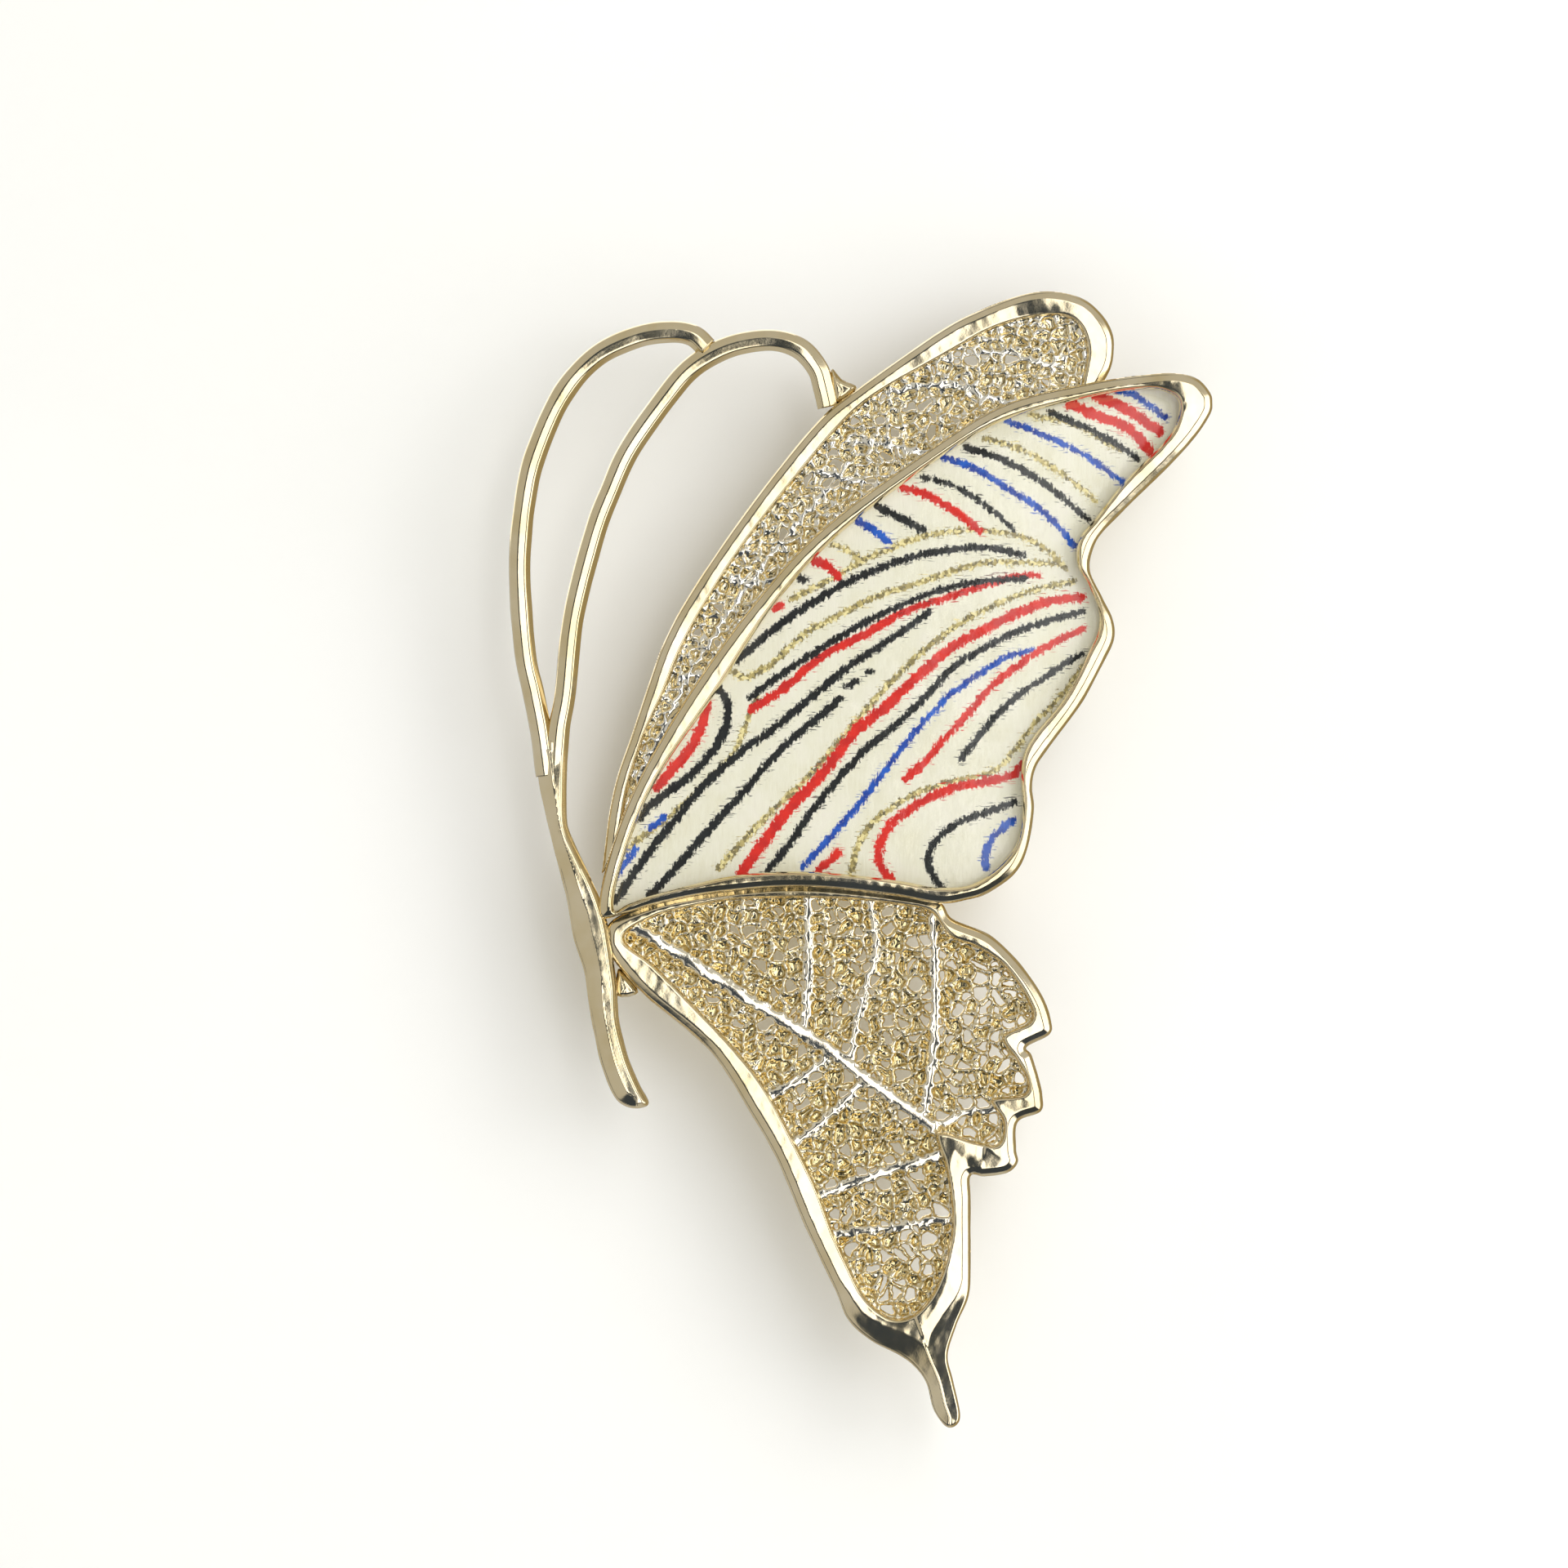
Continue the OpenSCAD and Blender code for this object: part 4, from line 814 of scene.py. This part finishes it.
class BROOCH_OT_stage(BroochOperator, bpy.types.Operator):
    """Make the paper backdrop, the floor, the lights and the camera"""
    bl_idname = "brooch.stage"
    bl_label = "Stage and camera"

    def execute(self, context):
        look, scene = context.scene.brooch_look, context.scene
        scene.view_settings.view_transform = "Standard"
        paper = finish_named("White paper")
        wide, behind, table = 0.6, 0.0045, -0.06
        wall = sheet_of_paper("Backdrop", [(-wide, behind, table), (wide, behind, table), (wide, behind, wide),
                                           (-wide, behind, wide)])
        floor = sheet_of_paper("Floor", [(-wide, -0.8, table), (wide, -0.8, table), (wide, wide, table),
                                         (-wide, wide, table)])
        for part in (wall, floor):
            part.data.materials.append(paper)
            part.visible_glossy = part.visible_shadow = False
        key = softbox("Key softbox", (0.26, -0.36, 0.2), (0, 0, 0), (0.42, 0.5), look.key_power, "#fdfdff")
        key.visible_glossy = False
        softbox("Rear softbox", (-0.3, 0.6, 0.4), (0, 0, 0), (1.0, 0.8), 2.0, "#fffefb")
        room_light(scene, look.sky)
        camera = bpy.data.objects.new("Camera", bpy.data.cameras.new("Camera"))
        scene.collection.objects.link(camera)
        distance, face, middle, sensor = 0.6, -0.0012, -0.00467, 36
        camera.location = (middle, face - distance, middle)
        camera.rotation_euler = (np.pi / 2, 0, 0)
        camera.data.sensor_width = sensor
        camera.data.lens = sensor * distance / look.view_width
        camera.data.clip_start, camera.data.clip_end = 0.01, 10
        scene.camera = camera
        return {"FINISHED"}


def sheet_of_paper(name, corners):
    """A flat four-cornered sheet."""
    mesh = bpy.data.meshes.new(name)
    mesh.from_pydata(corners, [], [(0, 1, 2, 3)])
    part = bpy.data.objects.new(name, mesh)
    bpy.context.scene.collection.objects.link(part)
    return part


def softbox(name, place, aim, size, power, tint):
    """A rectangular soft light at a place, turned to face its aim."""
    light = bpy.data.lights.new(name, "AREA")
    light.shape, light.size, light.size_y = "RECTANGLE", *size
    light.energy, light.color = power, linear(tint)[:3]
    lamp = bpy.data.objects.new(name, light)
    bpy.context.scene.collection.objects.link(lamp)
    lamp.location = place
    lamp.rotation_euler = (Vector(place) - Vector(aim)).to_track_quat("Z", "Y").to_euler()
    return lamp


def room_light(scene, brightness):
    """A pale room: warm grey all round and browner on the right, a broad white screen in front and to the right, and
    dark round the camera, low in front and in a thin line at the table's far edge."""
    world = bpy.data.worlds.new("Room")
    scene.world = world
    world.use_nodes = True
    tree = world.node_tree
    tree.nodes.clear()
    out = tree.nodes.new("ShaderNodeOutputWorld")
    way = add(tree, "SeparateXYZ", Vector=add(tree, "TexCoord").outputs["Generated"])
    # Soft edges: name, the direction's axis, where it is nothing and where it is full
    edges = (("front", 1, -0.2, -0.36), ("level", 2, -0.66, -0.54), ("seam left", 0, 0.32, 0.38),
             ("seam right", 0, 0.66, 0.6), ("screen left", 0, 0.045, 0.08), ("screen top", 2, 0.5, 0.36),
             ("near left", 0, -0.34, -0.24), ("near top", 2, 0.42, 0.3), ("line front", 1, -0.2, -0.12),
             ("line back", 1, 0.1, 0.02), ("line right", 0, 0.2, -0.1), ("line left", 0, -0.985, -0.96),
             ("warm left", 0, 0.2, 0.55), ("warm front", 1, -0.3, -0.1))
    # Patches: name, and the two values that are multiplied, compared or taken from each other
    patches = (("seam", "MULTIPLY", "seam left", "seam right"), ("no seam", "SUBTRACT", 1.0, "seam"),
               ("lit", "MULTIPLY", "front", "level"), ("lit", "MULTIPLY", "lit", "screen left"),
               ("lit", "MULTIPLY", "lit", "screen top"), ("lit", "MULTIPLY", "lit", "no seam"),
               ("near", "MULTIPLY", "near left", "near top"), ("line", "MULTIPLY", "line front", "line back"),
               ("line", "MULTIPLY", "line", "line right"), ("line", "MULTIPLY", "line", "line left"),
               ("low", "SUBTRACT", 1.0, "level"), ("dark", "MAXIMUM", "near", "low"),
               ("dark", "MULTIPLY", "front", "dark"), ("dark", "MAXIMUM", "dark", "line"),
               ("brown", "MULTIPLY", "warm left", "warm front"))
    share = {}
    for name, axis, start, end in edges:
        share[name] = add(tree, "MapRange", {"interpolation_type": "SMOOTHSTEP"}, Value=way.outputs[axis],
                          From_Min=start, From_Max=end).outputs[0]
    for name, operation, first, second in patches:
        share[name] = add(tree, "Math", {"operation": operation}, i0=share.get(first, first),
                          i1=share[second]).outputs[0]
    colour = linear("#f0eee8")
    for name, tint in (("brown", linear("#cdbd96")), ("dark", linear("#4a5361")), ("lit", (3.2, 3.2, 3.18, 1))):
        colour = add(tree, "MixRGB", {"blend_type": "MIX"}, Fac=share[name], Color1=colour, Color2=tint).outputs[0]
    shade = add(tree, "Background", Color=colour, Strength=brightness)
    tree.links.new(shade.outputs[0], out.inputs[0])


class BROOCH_OT_antennae(BroochOperator, bpy.types.Operator):
    """Make both antennae and the small web that ties the inner one to the wing"""
    bl_idname = "brooch.antennae"
    bl_label = "Antennae"

    def execute(self, context):
        metal = finish_named("Gilt cast")
        finish_piece(drawn_wire("antenna_outer_wire", OUTER_WIRE, 3), metal, "gilt", "brooch", "antenna_outer")
        finish_piece(drawn_wire("antenna_inner_wire", INNER_WIRE, 7), metal, "gilt", "brooch", "antenna_inner")
        web = cast_rim("antenna_web_cast", (-3, 16), (1, 20), lambda s: s.depth(smooth_path(ANTENNA_WEB, True, 4)),
                       None, 1.0, (0.3, 0.6), 31)
        finish_piece(web, metal, "gilt", "brooch", "antenna_web")
        return {"FINISHED"}


def body_rise(x, y):
    """Height of the body's top: as high as the wires at the fork, then rising evenly over six millimetres."""
    return 2 * WIRE_R + (BODY_H - 2 * WIRE_R) * np.clip((-3.5 - y) / 6, 0, 1)


def body_bevel(x, y, sideways):
    """The body's bevel: wide on its left, and most so in a bell round its waist, and narrow and steep on its right."""
    left = 0.85 + 0.8 * np.exp(-((y + 13.6) / 1.8) ** 2)
    return np.where(sideways > 0, left, 0.35), np.where(sideways > 0, 0.45 / left, 0.9)


class BROOCH_OT_body(BroochOperator, bpy.types.Operator):
    """Make the body with its stem and tail, and the small web beside the stem"""
    bl_idname = "brooch.body"
    bl_label = "Body"

    def execute(self, context):
        metal = finish_named("Gilt cast")
        body = cast_rim("body_cast", (-20.5, -24), (-11.5, 0), lambda s: s.depth(smooth_path(BODY_EDGE)),
                        None, body_rise, body_bevel, 41)
        finish_piece(body, metal, "gilt", "brooch", "body_stem")
        web = cast_rim("stem_web_cast", (-15, -17.5), (-12, -14.5), lambda s: s.depth(smooth_path(STEM_WEB, True, 4)),
                       None, 1.0, (0.3, 0.6), 33)
        finish_piece(web, metal, "gilt", "brooch", "stem_web")
        return {"FINISHED"}


def rear_outline():
    """The rear wing's edge, closed under the forewing."""
    return np.vstack([smooth_path(REAR_EDGE, False), UNDER_WING])


def rear_opening():
    """The inner edge of the rear wing's rim, closed under the forewing."""
    return np.vstack([smooth_path(REAR_INNER, False), UNDER_WING])


class BROOCH_OT_rear_wing(BroochOperator, bpy.types.Operator):
    """Make the narrow wing behind: its rim and its lace"""
    bl_idname = "brooch.rear_wing"
    bl_label = "Rear wing"

    def execute(self, context):
        piece = cast_rim("rear_wing_rim_cast", (-16, -10.5), (15.2, 24.5), lambda s: s.depth(rear_outline()),
                         lambda s: -s.depth(rear_opening()), REAR_H, (0.45, 0.55), 51,
                         trim=lambda s: 0.35 - s.depth(smooth_path(BEZEL_EDGE)))
        finish_piece(piece, finish_named("Gilt cast"), "gilt", "brooch", "rear_wing_rim")
        mesh = lace("rear_wing_lace_cast", (-15, -9), (14, 24),
                    lambda s: np.minimum(s.depth(rear_opening()), -s.depth(smooth_path(BEZEL_EDGE))), REAR_VEINS,
                    context.scene.brooch_look.lace_cell * 0.92,
                    lambda x, y: 0.08 + 0.2 * np.exp(-((x - 2) / 5) ** 2), 61, lift=0.2, grain=0.5)
        # The rear lace takes the copy of the lace colours that is painted lighter, which stands in for light.
        finish_piece(mesh, finish_named("Gilt lace painted lighter"), "gilt_lace", "brooch", "rear_wing_lace")
        return {"FINISHED"}


class BROOCH_OT_forewing(BroochOperator, bpy.types.Operator):
    """Make the forewing: its bezel, its drawn card and the clear dome over it"""
    bl_idname = "brooch.forewing"
    bl_label = "Forewing"

    def execute(self, context):
        inlay = smooth_path(INLAY_EDGE)
        bezel = cast_rim("painted_wing_bezel_cast", (-16, -13), (20.6, 19.6),
                         lambda s: s.depth(smooth_path(BEZEL_EDGE)), lambda s: -s.depth(inlay), BEZEL_H,
                         (0.48, 0.55), 71)
        finish_piece(bezel, finish_named("Gilt cast"), "gilt", "brooch", "painted_wing_bezel")
        low, high, face = (-15.2, -12.6), (18.7, 18.7), PLATE_T + CARD_T
        sheet = Sheet(low, high, 0.1)
        cut = Cut(sheet, sheet.depth(inlay) + INLAY_GAP)
        fields = {"ink_" + ink: cut.pick(pen_distance(sheet, lines)) for ink, lines in PEN_LINES.items()}
        top = face + 0.01 * ripple(cut.x, cut.y, 3, 81)
        card = cast_sheet("painted_card_drawn", cut, top, top - CARD_T + 0.02, fields)
        finish_piece(card, finish_named("Drawn paper"), "painted_card", "brooch", "painted_card")
        sheet = Sheet(low, high, 0.25)
        depth = sheet.depth(inlay)
        cut = Cut(sheet, depth + INLAY_GAP)
        edge = np.where(cut.border, 0, cut.pick(depth))
        away2 = (cut.x - DOME_AT[0]) ** 2 + (cut.y - DOME_AT[1]) ** 2
        top = DOME_TOP - away2 / DOME_FALL - 0.25 * np.exp(-np.maximum(edge, 0) / 0.5)
        dome = cast_sheet("clear_dome_poured", cut, top, np.full(len(cut.x), face + 0.03))
        finish_piece(dome, finish_named("Clear resin"), "clear_resin", "brooch", "clear_dome")
        return {"FINISHED"}


def pen_distance(sheet, lines):
    """Distance outside the nearest drawn line of one ink, less than zero on it. The lines get finer to the right."""
    away = np.full(sheet.X.shape, 2.0)
    fine = np.interp(sheet.X, (-14, 0, 15), (0.84, 0.76, 0.6))
    for width, points in lines:
        far = sheet.distance(even_path(points, PEN_STEP), PEN_REACH, False)
        away = np.minimum(away, far - fine * width / 2)
    return away


def hind_bevel(x, y, sideways):
    """The hind rim's bevel: it falls by 0.28 over its width, which grows evenly down the first of the tail."""
    width = 0.5 + 0.75 * np.clip((-33 - y) / 3, 0, 1)
    return width, 0.28 / width


class BROOCH_OT_hind_wing(BroochOperator, bpy.types.Operator):
    """Make the hind wing: its scalloped rim with the tail, and its veined lace"""
    bl_idname = "brooch.hind_wing"
    bl_label = "Hind wing"

    def execute(self, context):
        edge, opening = smooth_path(HIND_EDGE), smooth_path(HIND_INNER)
        rim = cast_rim("hind_wing_rim_cast", (-16, -42.3), (11.5, -9.6), lambda s: s.depth(edge),
                       lambda s: -s.depth(opening), HIND_H, hind_bevel, 91, 0.062)
        finish_piece(rim, finish_named("Gilt cast"), "gilt", "brooch", "hind_wing_rim")
        mesh = lace("hind_wing_lace_cast", (-14.6, -36), (10.2, -10.6), lambda s: s.depth(opening), HIND_VEINS,
                    context.scene.brooch_look.lace_cell, lambda x, y: np.clip(0.22 + 0.03 * (x + 6), 0.1, 0.5), 97,
                    pitch=0.08)
        finish_piece(mesh, finish_named("Gilt lace"), "gilt_lace", "brooch", "hind_wing_lace", "hind_wing_veins")
        return {"FINISHED"}


class BROOCH_OT_back(BroochOperator, bpy.types.Operator):
    """Make the back: the plate's finish, the bar, the hinge, the pin and the catch"""
    bl_idname = "brooch.back"
    bl_label = "Back bar, pin and catch"

    def execute(self, context):
        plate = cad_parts["painted_wing_plate"]
        plate.data.materials.clear()
        plate.data.materials.append(finish_named("Gilt back"))
        for node, width, metal, slot, body in (("back_bar", 0.16, "Gilt cast", "gilt", "brooch"),
                                               ("hinge_bracket", 0.08, "Gilt cast", "gilt", "brooch"),
                                               ("catch_base", 0.08, "Gilt cast", "gilt", "brooch"),
                                               ("hinge_rivet", 0.08, "Drawn steel", "pin_steel", "brooch"),
                                               ("catch_rotor", 0.07, "Drawn steel", "pin_steel", "rotor")):
            finish_piece(eased_copy(node, width), finish_named(metal), slot, body, node)
        finish_piece(turned_pin("pin_stem_turned"), finish_named("Drawn steel"), "pin_steel", "pin", "pin_stem")
        return {"FINISHED"}


OPERATORS = (BROOCH_OT_stage, BROOCH_OT_antennae, BROOCH_OT_body, BROOCH_OT_rear_wing, BROOCH_OT_forewing,
             BROOCH_OT_hind_wing, BROOCH_OT_back)


class BROOCH_PT_panel(bpy.types.Panel):
    """Lists the brooch's settings and its pieces"""
    bl_label = "Insect Brooch"
    bl_space_type = "VIEW_3D"
    bl_region_type = "UI"
    bl_category = "Brooch"

    def draw(self, context):
        for name in BroochLook.__annotations__:
            self.layout.prop(context.scene.brooch_look, name)
        for operator in OPERATORS:
            self.layout.operator(operator.bl_idname)


CLASSES = (BroochLook, *OPERATORS, BROOCH_PT_panel)


def register():
    for c in CLASSES:
        bpy.utils.register_class(c)
    bpy.types.Scene.brooch_look = bpy.props.PointerProperty(type=BroochLook)


def unregister():
    del bpy.types.Scene.brooch_look
    for c in reversed(CLASSES):
        bpy.utils.unregister_class(c)


def main():
    register()
    for operator in OPERATORS:
        group, name = operator.bl_idname.split(".")
        getattr(getattr(bpy.ops, group), name)()


if __name__ == "__main__":
    main()
